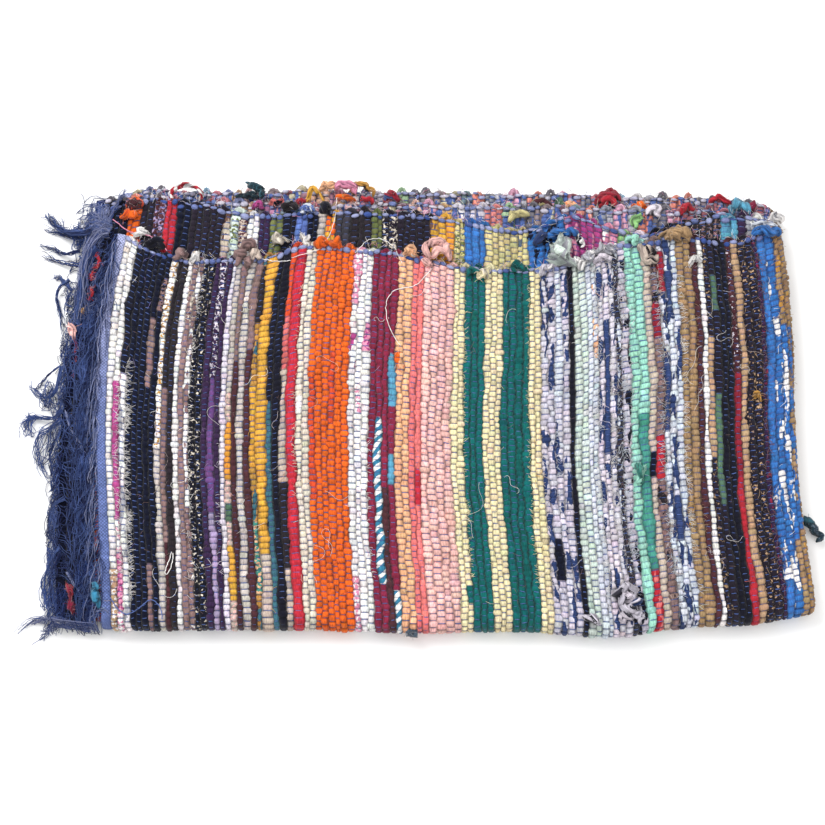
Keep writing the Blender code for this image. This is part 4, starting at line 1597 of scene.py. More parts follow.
# Tufts and strands that stand out of the fringe, by the points of their middle line in mm
# half, light dye, dark dye, yarns, width in mm, height at the root in mm, points in mm
TUFTS = read_rows("""
    outer denim warp_dark 38 8 14 -346,198 -370,200 -383,206 -395,218 -403,227
    outer denim warp_dark 12 2 10 -355,194 -372,199 -386,204 -396,208 -403,210
    inner denim warp_dark 14 3 10 -360,181 -376,179 -391,186 -409,191
    inner denim warp_dark 10 2 9 -360,165 -375,168 -393,175 -408,181
    inner denim warp_dark 10 2 8 -367,136 -376,146 -384,153 -395,154
    inner denim warp_dark 6 1 8 -370,142 -380,152 -389,160
    inner denim warp_dark 12 2 8 -370,149 -382,140 -383,124 -377,102 -374,76
    inner denim warp_blue 12 4 6 -372,51 -378,26 -390,18 -403,26 -410,38
    inner denim warp_dark 6 1 6 -376,53 -386,46 -396,35 -404,26
    inner denim warp_blue 14 4 6 -367,0 -379,-5 -397,-3 -411,-7 -412,-18 -419,-27
    inner denim warp_blue 10 4 6 -368,-10 -385,-17 -395,-25 -396,-44 -386,-65 -369,-80
    inner denim warp_dark 7 3 6 -368,-23 -380,-37 -379,-56 -365,-73
    inner denim warp_dark 13 5 6 -360,-92 -372,-100 -377,-115 -374,-129 -365,-135
    inner denim warp_dark 8 2 6 -367,-113 -378,-107 -374,-96
    inner denim warp_dark 6 2 6 -364,-124 -377,-126 -379,-135
    inner denim warp_blue 10 3 6 -361,-146 -374,-160 -381,-179 -374,-200 -360,-211
    inner warp_blue warp_dark 10 3 6 -361,-151 -369,-168 -371,-186 -362,-203
    outer periwinkle warp_blue 26 3 14 -322,-225 -339,-223 -359,-219 -378,-216 -393,-220 -409,-229
    outer periwinkle warp_blue 18 3 12 -328,-227 -347,-225 -364,-224 -378,-232 -389,-244
    outer periwinkle denim 44 9 24 -326,197 -338,205 -350,210 -360,208
    outer periwinkle warp_blue 40 9 24 -328,198 -341,192 -351,168 -352,130 -349,95
    outer denim warp_blue 26 7 22 -340,180 -350,160 -355,120 -353,80
    outer periwinkle denim 14 3 14 -328,209 -338,224 -346,230 -353,230
    outer periwinkle warp_blue 12 3 14 -330,206 -341,218 -350,222 -360,217
    outer periwinkle warp_blue 18 4 16 -328,206 -325,220 -318,232 -310,246
    outer periwinkle denim 9 4 20 -334,207 -346,202 -352,187 -349,171 -339,162
    outer periwinkle denim 6 2 20 -331,202 -335,188 -338,175
    outer periwinkle denim 5 2 20 -335,166 -343,159 -345,145
    outer periwinkle denim 5 2 20 -331,166 -338,152 -344,136 -341,119
    outer periwinkle denim 5 2 20 -336,123 -346,110 -354,96
    outer periwinkle denim 4 2 20 -336,103 -347,116 -356,127 -357,111
    outer periwinkle denim 4 1 20 -364,1 -357,-20 -349,-31 -338,-52 -324,-95
    outer periwinkle denim 5 1 20 -353,-170 -343,-186 -329,-200 -313,-211 -299,-216
""")


# Tangles in the fringe
# half, light dye, dark dye, yarns, reach in mm, height in mm, x and y of the middle in mm
TANGLES = read_rows("""
    outer periwinkle denim 20 9 26 -334 214
    outer denim warp_blue 16 10 18 -347 212
    inner denim warp_blue 12 8 12 -365 198
    outer denim warp_blue 14 9 18 -352 166
    inner denim warp_dark 12 8 12 -368 125
    outer denim warp_blue 12 8 18 -346 101
    inner warp_blue warp_dark 12 8 10 -370 68
    outer denim warp_blue 12 8 18 -348 43
    inner denim warp_dark 14 9 8 -387 20
    inner denim warp_blue 9 7 5 -405 -10
    outer denim warp_blue 12 8 18 -347 -9
    inner denim warp_dark 9 12 6 -386 -34
    inner warp_blue warp_dark 14 9 8 -371 -65
    outer denim warp_blue 12 8 18 -342 -62
    inner denim warp_dark 12 9 6 -373 -119
    outer denim warp_blue 12 8 18 -342 -115
    inner denim warp_blue 10 9 6 -373 -157
    inner denim warp_blue 10 10 6 -375 -186
    inner warp_blue warp_dark 16 9 8 -358 -201
    outer warp_blue warp_dark 14 9 16 -337 -169
    outer warp_blue warp_dark 14 9 12 -330 -209
""")


@dataclass
class Fringe:
    """The warp ends past the headings, tangled in locks and tufts.

    clump is the width in which yarns lean together and floor the height of the lowest ones.
    front is the y past which none lies, low and reach are where a layer's end starts and how
    far it runs along y, and drape and edge are the widths in which a yarn comes down to the
    floor at the left and at the front.
    """

    pack: FoldedPack
    draw: Draw
    stock: MeshStock = field(default_factory=MeshStock)
    radius: float = 0.00046
    steps: int = 14
    sides: int = 3
    clump: float = 0.016
    floor: float = 0.0006
    front: float = -0.2305
    low: float = -0.2155
    reach: float = 0.4375
    drape: float = 0.024
    edge: float = 0.018

    def bed(self, x: Array, y: Array) -> Array:
        """The height of what lies under a yarn, a layer of the front or the floor.

        Args:
            x: The x before the pack is centred.
            y: The y before the pack is centred.

        Returns:
            The height.
        """
        up = np.clip((y - self.low) / self.reach, 0.0, 1.0)
        end = self.pack.end_x(up, INNER_END)
        top = MIDDLE_Z + DEPTH_INNER + HALF_THICK + 0.0010
        top = top * (1.0 + self.pack.loft(x, y))
        slope = smooth((end + 0.004 - x) / self.drape)
        front = smooth((y + 0.236) / self.edge)
        low = mix(top, self.floor, np.maximum(slope, 1.0 - front))
        outer_top = (MIDDLE_Z + DEPTH_OUTER + HEADING_THICK / 2 + 0.0008) * (1.0 + self.pack.loft(x, y))
        over = smooth((x - self.pack.end_x(up, OUTER_END) + 0.002) / 0.003)
        return mix(low, outer_top, over)

    def roots(self, layer: Layer, share: Array) -> Array:
        """Where yarns leave their heading.

        Args:
            layer: Their layer.
            share: How far up from the long fold each one is.

        Returns:
            The points, before the pack is centred.
        """
        walk = FRONT_END - share if layer.value > 0.0 else BEND_END + share
        outer = abs(layer.value) == DEPTH_OUTER
        x = self.pack.end_x(share, OUTER_END if outer else INNER_END) + 0.0006
        inner = np.full_like(x, 0.0 if outer else 1.0)
        points = self.pack.sweep(x, np.full_like(x, abs(layer.value)), inner, walk)
        return points - (SHIFT_X, SHIFT_Y, 0.0)

    def lay(self, root: Array, tip: Array, fall: Fall, stack: Array) -> Array:
        """Paths of yarns from their roots to their tips, resting on what is below.

        Args:
            root: The root points, with their heights.
            tip: The x and y of the tips.
            fall: How the layer's yarns fall.
            stack: The height of each one over what is below.

        Returns:
            Points of (yarns, steps, 3), before the pack is centred.
        """
        count = len(root)
        s = np.linspace(0.0, 1.0, self.steps)[None, :, None]
        bend = np.stack([mix(root[:, 0], tip[:, 0], 1.15), mix(root[:, 1], tip[:, 1], 0.10)], -1)
        flat = root[:, None, :2] * (1 - s) ** 2 + 2.0 * bend[:, None] * s * (1 - s) + tip[:, None] * s**2
        side = unit(np.stack([-(tip - root[:, :2])[:, 1], (tip - root[:, :2])[:, 0]], -1))
        pace = self.draw.uniform(0.8, 3.2, (count, 2, 1))
        phase = self.draw.uniform(0.0, math.tau, (count, 2, 1))
        size = self.draw.uniform(0.3, 1.0, (count, 2, 1)) * fall.curl
        runs = math.tau * pace * s[:, None, :, 0] + phase
        wave = (np.sin(runs) - np.sin(phase)) * size
        grow = np.minimum(1.0, 2.0 * s[..., 0])
        ahead = np.stack([side[:, 1], -side[:, 0]], axis=-1)
        flat = flat + side[:, None] * (wave[:, 0] * grow)[..., None]
        flat = flat + ahead[:, None] * (0.6 * wave[:, 1] * grow)[..., None]
        flat[..., 1] = np.maximum(flat[..., 1], self.front - 0.003 * self.draw.random((count, 1)))
        below = self.bed(flat[..., 0], flat[..., 1]) if fall.layer.value > 0.0 else self.floor
        bob = 0.5 + 0.5 * np.sin(math.tau * s[..., 0] * pace[:, 0] * 0.7 + phase[:, 1])
        height = below + stack[:, None] * bob * (1.0 - 0.45 * s[..., 0])
        height = mix(root[:, None, 2], height, smooth(s[..., 0] / 0.22))
        return np.concatenate([flat, height[..., None]], axis=-1)

    def add(self, paths: Array, light: str, dark: str) -> None:
        """Adds yarns along paths.

        Args:
            paths: The paths, before the pack is centred.
            light: The dye of the lightest yarns.
            dark: The dye of the darkest.
        """
        count, steps = paths.shape[:2]
        paths = paths + (SHIFT_X, SHIFT_Y, self.radius)
        paths[..., 2] = np.maximum(paths[..., 2], 1.7 * self.radius)
        taper = np.linspace(1.0, 0.7, steps)[None]
        thick = self.radius * self.draw.uniform(0.75, 1.25, (count, 1)) * taper
        rings = tube_rings(paths, thick, self.sides)
        shade = self.draw.normal(0.52, 0.46, (count, 1)) + self.draw.normal(0.0, 0.12, (count, steps))
        shade = np.clip(shade, 0.0, 1.0)
        tint = mix(dye(light), dye(dark), shade[..., None])[:, :, None]
        length = np.cumsum(np.linalg.norm(np.diff(paths, axis=1, prepend=paths[:, :1]), axis=-1), axis=1)
        lie = spread(np.arange(self.sides) * 0.0009, length[..., None], 0.0)
        self.stock.add_tubes(rings, tint, tint, YARN_LOOK, lie)

    def add_fall(self, fall: Fall) -> None:
        """Adds the warp ends of one layer, gathered in clumps.

        Args:
            fall: How they lie.
        """
        share = np.clip((np.arange(fall.yarns) + self.draw.random(fall.yarns)) / fall.yarns, 0.0, 1.0)
        root = self.roots(fall.layer, share)
        clump = np.floor(root[:, 1] / self.clump).astype(int)
        clump = clump - clump.min()
        many = clump.max() + 1
        lean = self.draw.random((many, 2))[clump]
        pull = mix(lean, self.draw.random((fall.yarns, 2)), 0.5)
        out = mix(fall.out[0], fall.out[1], pull[:, 0] ** 1.3)
        down = mix(fall.down[0], fall.down[1], pull[:, 1] ** 1.2)
        room = np.maximum(root[:, 1] - self.front, 0.002)
        down = np.minimum(down, room)
        tip = np.stack([root[:, 0] - out, root[:, 1] - down], -1)
        stack = self.draw.uniform(fall.stack[0], fall.stack[1], fall.yarns)
        self.add(self.lay(root, tip, fall, stack), fall.light, fall.dark)

    def add_tuft(self, tuft: Sequence) -> None:
        """Adds one tuft, its yarns side by side along its middle line and fanned at the tip.

        Args:
            tuft: A row of the tuft table.
        """
        _, light, dark, yarns, width, start, *marks = tuft
        rows = [(float(i), x / MM, y / MM) for i, (x, y) in enumerate(marks)]
        s = np.linspace(0.0, 1.0, self.steps)[None]
        at = s * self.draw.uniform(0.60, 1.0, (yarns, 1)) * (len(marks) - 1.0)
        spine = np.stack([read_table(rows, at, 1), read_table(rows, at, 2)], axis=-1)
        along = unit(np.gradient(spine, axis=1))
        side = np.stack([-along[..., 1], along[..., 0]], axis=-1)
        spread = self.draw.normal(0.0, 0.32, (2, yarns, 1)) * width / MM
        fan = 0.8 + 0.9 * s**2.5 + 0.9 * (1.0 - s) ** 3
        pace = self.draw.uniform(1.2, 4.0, (yarns, 1))
        curl = (0.0007 + 0.0024 * s**2) * self.draw.uniform(0.4, 1.2, (yarns, 1))
        wave = curl * np.sin(math.tau * pace * s + self.draw.uniform(0.0, math.tau, (yarns, 1)))
        flat = spine + side * (spread[0] * fan + wave)[..., None]
        below = self.bed(flat[..., 0], flat[..., 1])
        height = np.maximum(below, mix(start / MM, 0.0012, smooth(s)))
        height = height + np.abs(spread[1]) * fan
        self.add(np.concatenate([flat, height[..., None]], axis=-1), light, dark)

    def add_tangle(self, tangle: Sequence) -> None:
        """Adds one tangle, its yarns curled about each other.

        Args:
            tangle: A row of the tangle table.
        """
        _, light, dark, yarns, reach, height, x, y = tangle
        s = np.linspace(0.0, 1.0, self.steps)[None]
        size = reach / MM * self.draw.uniform(0.35, 1.0, (2, yarns, 1))
        phase = self.draw.uniform(0.0, math.tau, (4, yarns, 1))
        turns = self.draw.uniform(0.35, 1.1, (2, yarns, 1))
        flat_x = x / MM + 0.8 * size[0] * np.sin(math.tau * turns[0] * s + phase[0])
        flat_y = y / MM + 2.2 * size[1] * np.sin(math.tau * turns[1] * s + phase[1])
        flat_x += 0.3 * size[0] * np.sin(math.tau * 2.3 * s + phase[2])
        below = self.bed(flat_x, flat_y)
        lift = np.maximum(height / MM - below, 0.0015) * (0.5 + 0.5 * np.sin(math.tau * s + phase[3]))
        self.add(np.stack([flat_x, flat_y, below + lift], axis=-1), light, dark)


# Knots, tails and loops of rag


class Form(Enum):
    """How thick a rag is along its length, as shares read at even steps."""

    PUFF = (0.60, 0.84, 1.0, 0.84, 0.60)
    TAIL = (0.30, 0.70, 1.0, 0.95, 0.72)
    WEDGE = (0.16, 0.34, 0.56, 0.80, 1.0)


# The rags that stand out of the weave. A node's rags stand for the node of the same name.
WADS = (
    # node or piece, layer, slot, and rags as dye, accent, kind, form, thickness and points in mm
    ("rag_loop_red_white", Layer.BACK_INNER, "red_white", """
    red white twisted puff 3.4 -259,233,1 -263,246,4 -251,253,5 -237,253,5 -229,244,4 -234,238,1
    """),
    ("rag_tail_dark_teal", Layer.BACK_INNER, "dark_teal", """
    dark_teal teal printed tail 4.2 -183,260,1 -174,254,3 -164,247,4 -163,241,2
    dark_teal ink printed tail 3.6 -192,241,1 -179,243,4 -168,241,3
    """),
    ("rag_loop_mustard", Layer.BACK_INNER, "mustard", """
    gold mustard sheeting puff 3.2 -116,235,1 -111,247,3 -104,248,4 -95,236,1
    peach salmon jersey puff 4.4 -101,248,2 -93,255,5 -83,251,3
    pink red jersey puff 5 -85,249,2 -76,255,5 -64,254,4 -62,245,1
    mustard dark_brown frayed puff 3.4 -66,253,3 -55,255,6 -46,251,4 -43,242,1
    red dark_red jersey puff 4 -57,237,2 -48,239,5 -42,235,1
    orange mustard frayed puff 4 -82,239,1 -72,241,3 -62,236,1
    """),
    ("rag_knot_red", Layer.BACK_OUTER, "red", """
    dark_red red jersey puff 4.8 200,236,1 208,243,4 218,246,6 228,240,2
    red dark_red jersey puff 4.4 203,233,2 213,239,6 225,236,3
    dark_red dark_brown jersey puff 3.8 206,246,2 216,250,4 225,246,2
    """),
    ("rag_knot_white", Layer.FRONT_INNER, "white", """
    cream white sheeting wedge 7 -134,189,3 -141,188,4 -149,189,3
    white cream frayed puff 4.6 -120,194,3 -114,187,6 -112,181,4
    """),
    ("rag_knot_taupe", Layer.FRONT_OUTER, "taupe", """
    taupe beige jersey puff 5 -183,174,1 -176,180,5 -168,178,4
    taupe brown jersey puff 4.8 -189,161,0 -184,168,3 -178,171,4
    beige taupe jersey puff 4.6 -173,166,2 -168,172,4 -163,164,1
    taupe beige jersey puff 4.4 -175,157,1 -176,166,3
    """),
    ("rag_bow_salmon", Layer.FRONT_OUTER, "salmon", """
    salmon coral jersey puff 5.6 14,167,1 16,177,5 24,182,8 32,178,6
    salmon coral jersey puff 5 20,166,3 27,173,8 35,171,4
    salmon coral jersey puff 4.6 29,183,6 37,175,6 37,163,1
    salmon peach sheeting puff 5.2 13,162,2 18,158,3
    """),
    ("rag_tail_grey", Layer.FRONT_OUTER, "grey", """
    mint_white grey frayed wedge 17 160,193,3 160,180,4 159,170,3 158,160,1
    white mint_white sheeting puff 5.4 172,165,1 178,160,4 182,156,1
    """),
    ("rag_loop_khaki", Layer.FRONT_OUTER, "khaki", """
    khaki tan jersey tail 4.4 265,187,0 270,192,4 280,196,6 289,192,5 296,184,2
    khaki mustard jersey puff 4.6 271,186,2 279,191,6 286,186,3
    khaki tan jersey puff 4.2 283,197,3 292,194,6 296,186,2
    """),
    ("rag_knot_green", Layer.FRONT_OUTER, "green", """
    emerald mint jersey puff 4.2 231,-58,1 234,-68,4 235,-78,1
    mint emerald jersey puff 3.6 240,-61,1 234,-71,5 231,-80,1
    """),
    ("rag_knot_lilac", Layer.FRONT_OUTER, "lilac", """
    lilac_grey charcoal pieced puff 5.6 209,-203,1 210,-193,5 215,-188,6
    lilac_grey charcoal pieced puff 5.4 215,-188,3 222,-191,6 222,-199,4
    lilac_white navy pieced puff 5 213,-198,4 219,-196,6
    lilac_grey navy pieced puff 5.2 212,-206,2 217,-210,5 226,-208,2
    navy_blue lilac_grey pieced puff 4.6 221,-204,2 227,-201,4
    lilac_white navy pieced puff 5.2 208,-220,1 214,-216,4 220,-219,2
    lilac_grey navy pieced puff 5 222,-214,1 229,-216,4 230,-223,1
    """),
    ("rag_tail_teal_side", Layer.BACK_OUTER, "dark_teal", """
    dark_teal slate printed tail 4.4 399,-112,1 407,-118,4 415,-122,5 421,-130,3 420,-138,2
    teal dark_teal jersey puff 3.4 402,-113,4 410,-115,6 417,-119,6
    """),
    ("rag_puffs", Layer.FRONT_INNER, "rag_weave", """
    white cream sheeting puff 4.8 -298,192,0 -293,198,2 -286,195,0
    brown_maroon orange_red frayed puff 5.4 -309,221,1 -302,231,4 -293,228,2
    orange orange_red frayed puff 5 -313,215,1 -305,219,4 -297,217,1
    dark_brown taupe jersey puff 5.4 -140,223,0 -132,228,4 -125,225,1
    denim white_blue frayed puff 4.6 -122,221,0 -113,225,3 -106,222,0
    ink charcoal jersey puff 4.6 -100,221,0 -94,225,3 -87,222,0
    navy_blue royal jersey puff 5.2 133,182,0 138,192,3 146,194,3
    royal navy_blue jersey puff 5 146,192,1 155,197,4 165,196,3
    royal navy_blue jersey puff 4.8 162,194,2 172,198,4 181,190,1
    white navy pieced puff 3.6 176,195,3 180,188,4 182,181,2
    red magenta frayed puff 2 -341,172,2 -335,164,2 -341,157,2
    red dark_red frayed puff 2 -345,137,2 -342,130,2 -345,121,2
    red dark_red frayed puff 1.8 -342,153,2 -344,144,2
    mustard brown jersey puff 2 -351,112,2 -351,106,2
    teal_blue teal jersey puff 4.4 -324,-182,6 -321,-194,9 -319,-206,6
    dark_red maroon frayed puff 3.6 -350,-183,5 -347,-190,7 -347,-197,6
    maroon brown_maroon frayed puff 3 -348,-198,6 -346,-205,7 -344,-212,5
    """),
    ("rag_puffs", Layer.FRONT_OUTER, "rag_weave", """
    ink navy frayed puff 5 -285,180,0 -275,183,2 -264,178,0
    taupe grey_beige jersey puff 4.6 -254,165,0 -247,171,3 -241,166,0
    white beige frayed puff 4.2 -236,161,0 -232,168,2 -229,163,0
    grey white frayed puff 4.4 182,160,0 187,168,4 196,172,3
    grey white frayed puff 4.6 194,170,2 203,176,5 212,172,1
    lilac_white grey frayed puff 4.4 196,160,0 202,167,4 211,164,2
    lilac_grey white frayed puff 4.4 137,148,0 142,155,3 150,155,0
    beige dark_brown pieced puff 4.6 244,183,1 246,169,3 255,162,3 263,167,1
    dark_brown beige pieced puff 4 250,181,1 254,174,3 260,174,1
    white grey frayed puff 3.8 297,159,0 302,165,3 308,161,0
    white_blue royal sheeting puff 3.4 365,199,1 371,204,5 383,203,5 392,200,1
    royal navy_blue jersey puff 5.4 365,191,1 374,196,5 385,195,5 393,191,1
    mustard brown jersey puff 2.8 356,10,0 359,16,4 364,7,1
    pale_yellow cream frayed puff 5.2 81,145,0 74,148,3 70,142,0
    peach cream frayed puff 4.8 -8,167,0 -3,174,4 3,168,0
    orange orange_red sheeting puff 5.4 -102,177,0 -98,183,3 -91,181,1
    orange orange_red sheeting puff 5.2 -87,178,0 -82,183,3 -76,180,1
    dark_green teal jersey puff 4.8 106,152,0 111,157,3 119,154,0
    dark_green teal jersey puff 4.4 59,147,0 62,152,2 68,148,0
    mint mint_white jersey puff 5 231,183,0 237,188,3 240,181,0
    lilac_grey ink pieced puff 5 173,-220,0 181,-218,3 189,-224,0
    slate grey frayed puff 4.4 2,-231,-12 -4,-230,-12
    """),
    ("rag_puffs", Layer.BACK_INNER, "rag_weave", """
    red coral jersey puff 3.6 -126,232,1 -121,237,3 -116,235,1
    magenta denim jersey puff 3.4 -175,229,1 -168,233,3 -162,229,1
    coral navy frayed puff 3.4 -155,232,1 -149,236,3 -142,232,1
    dark_red denim pieced puff 4.6 -32,238,1 -24,243,4 -14,239,1
    yellow pale_yellow sheeting puff 5 104,214,0 112,223,3 126,219,1
    spring_green mint jersey puff 4.4 240,206,0 244,217,3 250,218,1
    lilac_white grey sheeting puff 5 253,222,1 261,226,4 270,222,1
    red dark_red frayed puff 4.6 291,222,1 297,229,4 305,226,1
    turquoise teal jersey puff 6 348,221,0 350,231,4 358,231,4 363,221,0
    white grey frayed puff 5.2 385,209,1 391,218,4 400,213,2
    salmon brown jersey tail 4.2 -367,97,3 -362,89,8 -360,80,4
    orange_red red jersey puff 2.2 -359,41,4 -355,35,5
    dark_red red frayed puff 2 -360,87,5 -357,69,6 -357,52,5
    brown tan frayed puff 2.4 -357,-2,5 -352,-8,5 -350,-14,4
    """),
    ("rag_puffs", Layer.BACK_OUTER, "rag_weave", """
    brown_maroon yellow pieced puff 5.2 132,230,2 140,238,6 152,231,2
    sage ink jersey puff 4.4 157,233,1 161,238,3 166,233,1
    peach orange frayed puff 4.2 168,233,1 173,236,3 179,233,1
    orange peach frayed puff 4 242,231,1 249,235,3 256,231,1
    red dark_red jersey puff 3.4 324,238,1 332,244,4 339,241,5 347,237,2
    maroon magenta jersey puff 4.4 365,227,1 369,234,4 374,229,1
    """),
)


# A hair's stray to the side as a share of its length, and how far it arches and starts up
HAIR_BEND, HAIR_ARCH, HAIR_START = 0.4, 0.0018, 0.0006


def lay_hairs(
    stock: MeshStock,
    draw: Draw,
    root: Array,
    heading: Array,
    length: Array,
    tint: Array,
) -> None:
    """Adds short hairs.

    Args:
        stock: Where the mesh is gathered.
        draw: The random draw.
        root: Where they stand.
        heading: The way each one points on the face, as a turn from +x.
        length: Its length.
        tint: Its colour.
    """
    flat = np.stack([np.cos(heading), np.sin(heading), 0.0 * heading], -1) * length[:, None]
    bend = np.stack([-flat[:, 1], flat[:, 0], flat[:, 2]], -1) * draw.normal(0.0, HAIR_BEND, (len(root), 1))
    s = np.linspace(0.0, 1.0, 3)[None, :, None]
    path = root[:, None] + flat[:, None] * s + bend[:, None] * s**2
    rise = draw.uniform(0.4, 1.4, (len(root), 1))
    path[..., 2] += (HAIR_ARCH * np.sin(math.pi * s[..., 0] * 0.8) + HAIR_START) * rise
    rings = tube_rings(path, np.full((1, 3), HAIR_RADIUS), 3)
    tint = tint[:, None, None]
    stock.add_tubes(rings, tint, tint, HAIR_LOOK, np.zeros(3))


@dataclass
class Wad:
    """Rags that are knotted, looped or cut off at the face or the edge of the rug.

    flat is a rag's height as a share of its width, pleats the number of waves in its face,
    crumple how unevenly they stand, and frays the hairs on each rag.
    """

    pack: FoldedPack
    layer: Layer
    rags: str
    draw: Draw
    sides: int = 14
    steps: int = 22
    flat: float = 0.70
    wedge_flat: float = 0.34
    crumple: float = 0.035
    frays: int = 10
    pleats: int = 9

    def add(self, stock: MeshStock) -> None:
        """Adds the rags, pleated along their length.

        Args:
            stock: Where the mesh is gathered.
        """
        s = np.linspace(0.0, 1.0, self.steps)
        turn = math.tau * np.arange(self.sides) / self.sides
        for main, second, kind, shape, thick, *marks in read_rows(self.rags):
            rag, form = Rag(kind), Form[shape.upper()]
            spots = self.pack.over(self.layer, np.array(marks, float) / MM)
            path = smooth_path(spots, self.steps)
            profile = read_table(list(enumerate(form.value)), s * (len(form.value) - 1.0), 1)
            tip = s if form is Form.WEDGE else np.minimum(s, 1.0 - s)
            profile = profile * np.sqrt(np.clip(1.0 - (1.0 - tip / 0.10).clip(0.0) ** 2, 0.05, 1.0))
            radius = profile * thick / MM
            flat = self.wedge_flat if form is Form.WEDGE else self.flat
            path[:, 2] = np.maximum(path[:, 2] + radius * flat * 0.6, radius * flat * 1.3)
            around = self.draw.integers(1, 7, (self.pleats, 1, 1))
            along = self.draw.uniform(-24.0, 24.0, (self.pleats, 1, 1))
            phase = self.draw.uniform(0.0, math.tau, (self.pleats, 1, 1))
            depth = self.draw.uniform(0.04, 0.13, (self.pleats, 1, 1))
            folds = (depth * np.sin(around * turn[None, None] + along * s[None, :, None] + phase)).sum(0)
            swing = self.draw.normal(0.0, 0.20 * thick / MM, (3, 3))
            path = path + np.sin(s[:, None] * np.array([9.0, 13.0, 17.0])) @ swing
            twist = 0.0 if form is Form.WEDGE else 0.3
            rings = tube_rings(path[None], radius[None], self.sides, flat, twist)
            rings = path[None, :, None] + (rings - path[None, :, None]) * (1.0 + folds)[None, ..., None]
            length = np.linalg.norm(np.diff(path, axis=0), axis=-1).sum()
            cut = CUTS[rag]
            # Painted shade: darker in the hollows of the pleats, from the same folds that shape them
            look = spread(cut.printed, np.clip(0.80 + 2.0 * folds, 0.22, 1.0), cut.smooth)
            lie = spread(turn * thick / MM, s[:, None] * length, marks[0][0] + 0.5)
            rings = rings + self.draw.normal(0.0, self.crumple * thick / MM, rings.shape)
            fade = 1.0 + 0.06 * self.draw.standard_normal()
            stock.add_tubes(rings, dye(main) * fade, dye(second), look, lie, False, cut.pieced)
            count = self.frays * (2 if rag is Rag.FRAYED else 1)
            step = self.draw.integers(0, self.steps, count)
            root = rings[0, step, self.draw.integers(0, self.sides, count)]
            root[:, 2] = np.maximum(root[:, 2], 0.001)
            tint = mix(dye(main), dye("white"), self.draw.uniform(-0.1, 0.4, (count, 1))).clip(0.0)
            heading = self.draw.uniform(0.0, math.tau, count)
            lay_hairs(stock, self.draw, root, heading, self.draw.uniform(0.002, 0.006, count), tint)


# Ravelled threads that lie over the rug
# dye, radius in mm, points as x, y and height over the front outer layer, in mm
LOOSE_THREADS = read_rows("""
    pink 0.55 -323,212,-3 -308,200,-5 -293,196,-5 -276,189,0 -262,174,2
    white 0.35 -129,166,2 -101,175,4 -91,188,1 -84,215,-6 -82,243,-12
    white 0.35 -61,172,1 -48,186,2 -33,187,2 -20,178,2 -11,160,1
    white 0.4 21,154,2 3,135,2 -19,129,3 -28,113,2 -24,87,2 -13,68,1
    white 0.4 -161,165,2 -147,162,3 -130,163,1
    denim 0.5 -311,-190,2 -297,-209,3 -287,-214,4 -275,-208,5 -265,-200,5 -255,-206,4 -252,-220,2
    white 0.45 -245,-151,1 -249,-164,3 -251,-172,3 -248,-173,3 -244,-162,2 -244,-152,1
""")

# Where the edge of a rag strip is frayed to a comb of hairs
# stripe: rib, side, from, to, hairs on a metre, length in mm, dye
COMBS = read_rows("""
    edge frayed: 0 1 0.05 0.66 2400 7 white
    edge frayed: 0 -1 0.1 0.6 1100 5 white
    fuzzy white: 0 1 0.2 0.95 800 5 white
    grey taupe: 0 1 0.7 1 700 6 taupe
    lilac white: 0 -1 0.1 0.5 300 5 lilac_white
    cream: 0 -1 0.3 0.9 600 5 cream
    white and pink: 2 1 0.1 0.55 400 4 white
    yellow one: 0 -1 0.02 0.98 700 4 cream
    yellow one: 1 1 0.1 0.9 700 4 pale_yellow
    yellow three: 0 -1 0.05 0.95 800 4 pale_yellow
    yellow three: 1 1 0.05 0.8 500 4 cream
    lilac and navy: 1 1 0.2 0.95 600 6 white_blue
    white blue: 1 1 0.05 0.95 600 6 white_blue
    navy and white: 0 -1 0.02 0.98 1100 7 white
    navy and white: 1 1 0.02 0.98 1200 7 white
    black fuzz: 0 1 0.05 0.95 1100 8 white_blue
    pale lilac: 0 1 0.3 0.9 500 6 lilac_white
    dark mix: 0 1 0.05 0.95 900 6 beige
    white and navy: 0 -1 0.1 0.95 900 7 white_blue
    white and navy: 2 1 0.05 0.9 1000 7 white
    khaki: 1 1 0.2 0.8 400 5 khaki
    plum line: 0 1 0.1 0.9 500 5 plum
    brown end: 0 1 0.55 1 1100 6 khaki
""")


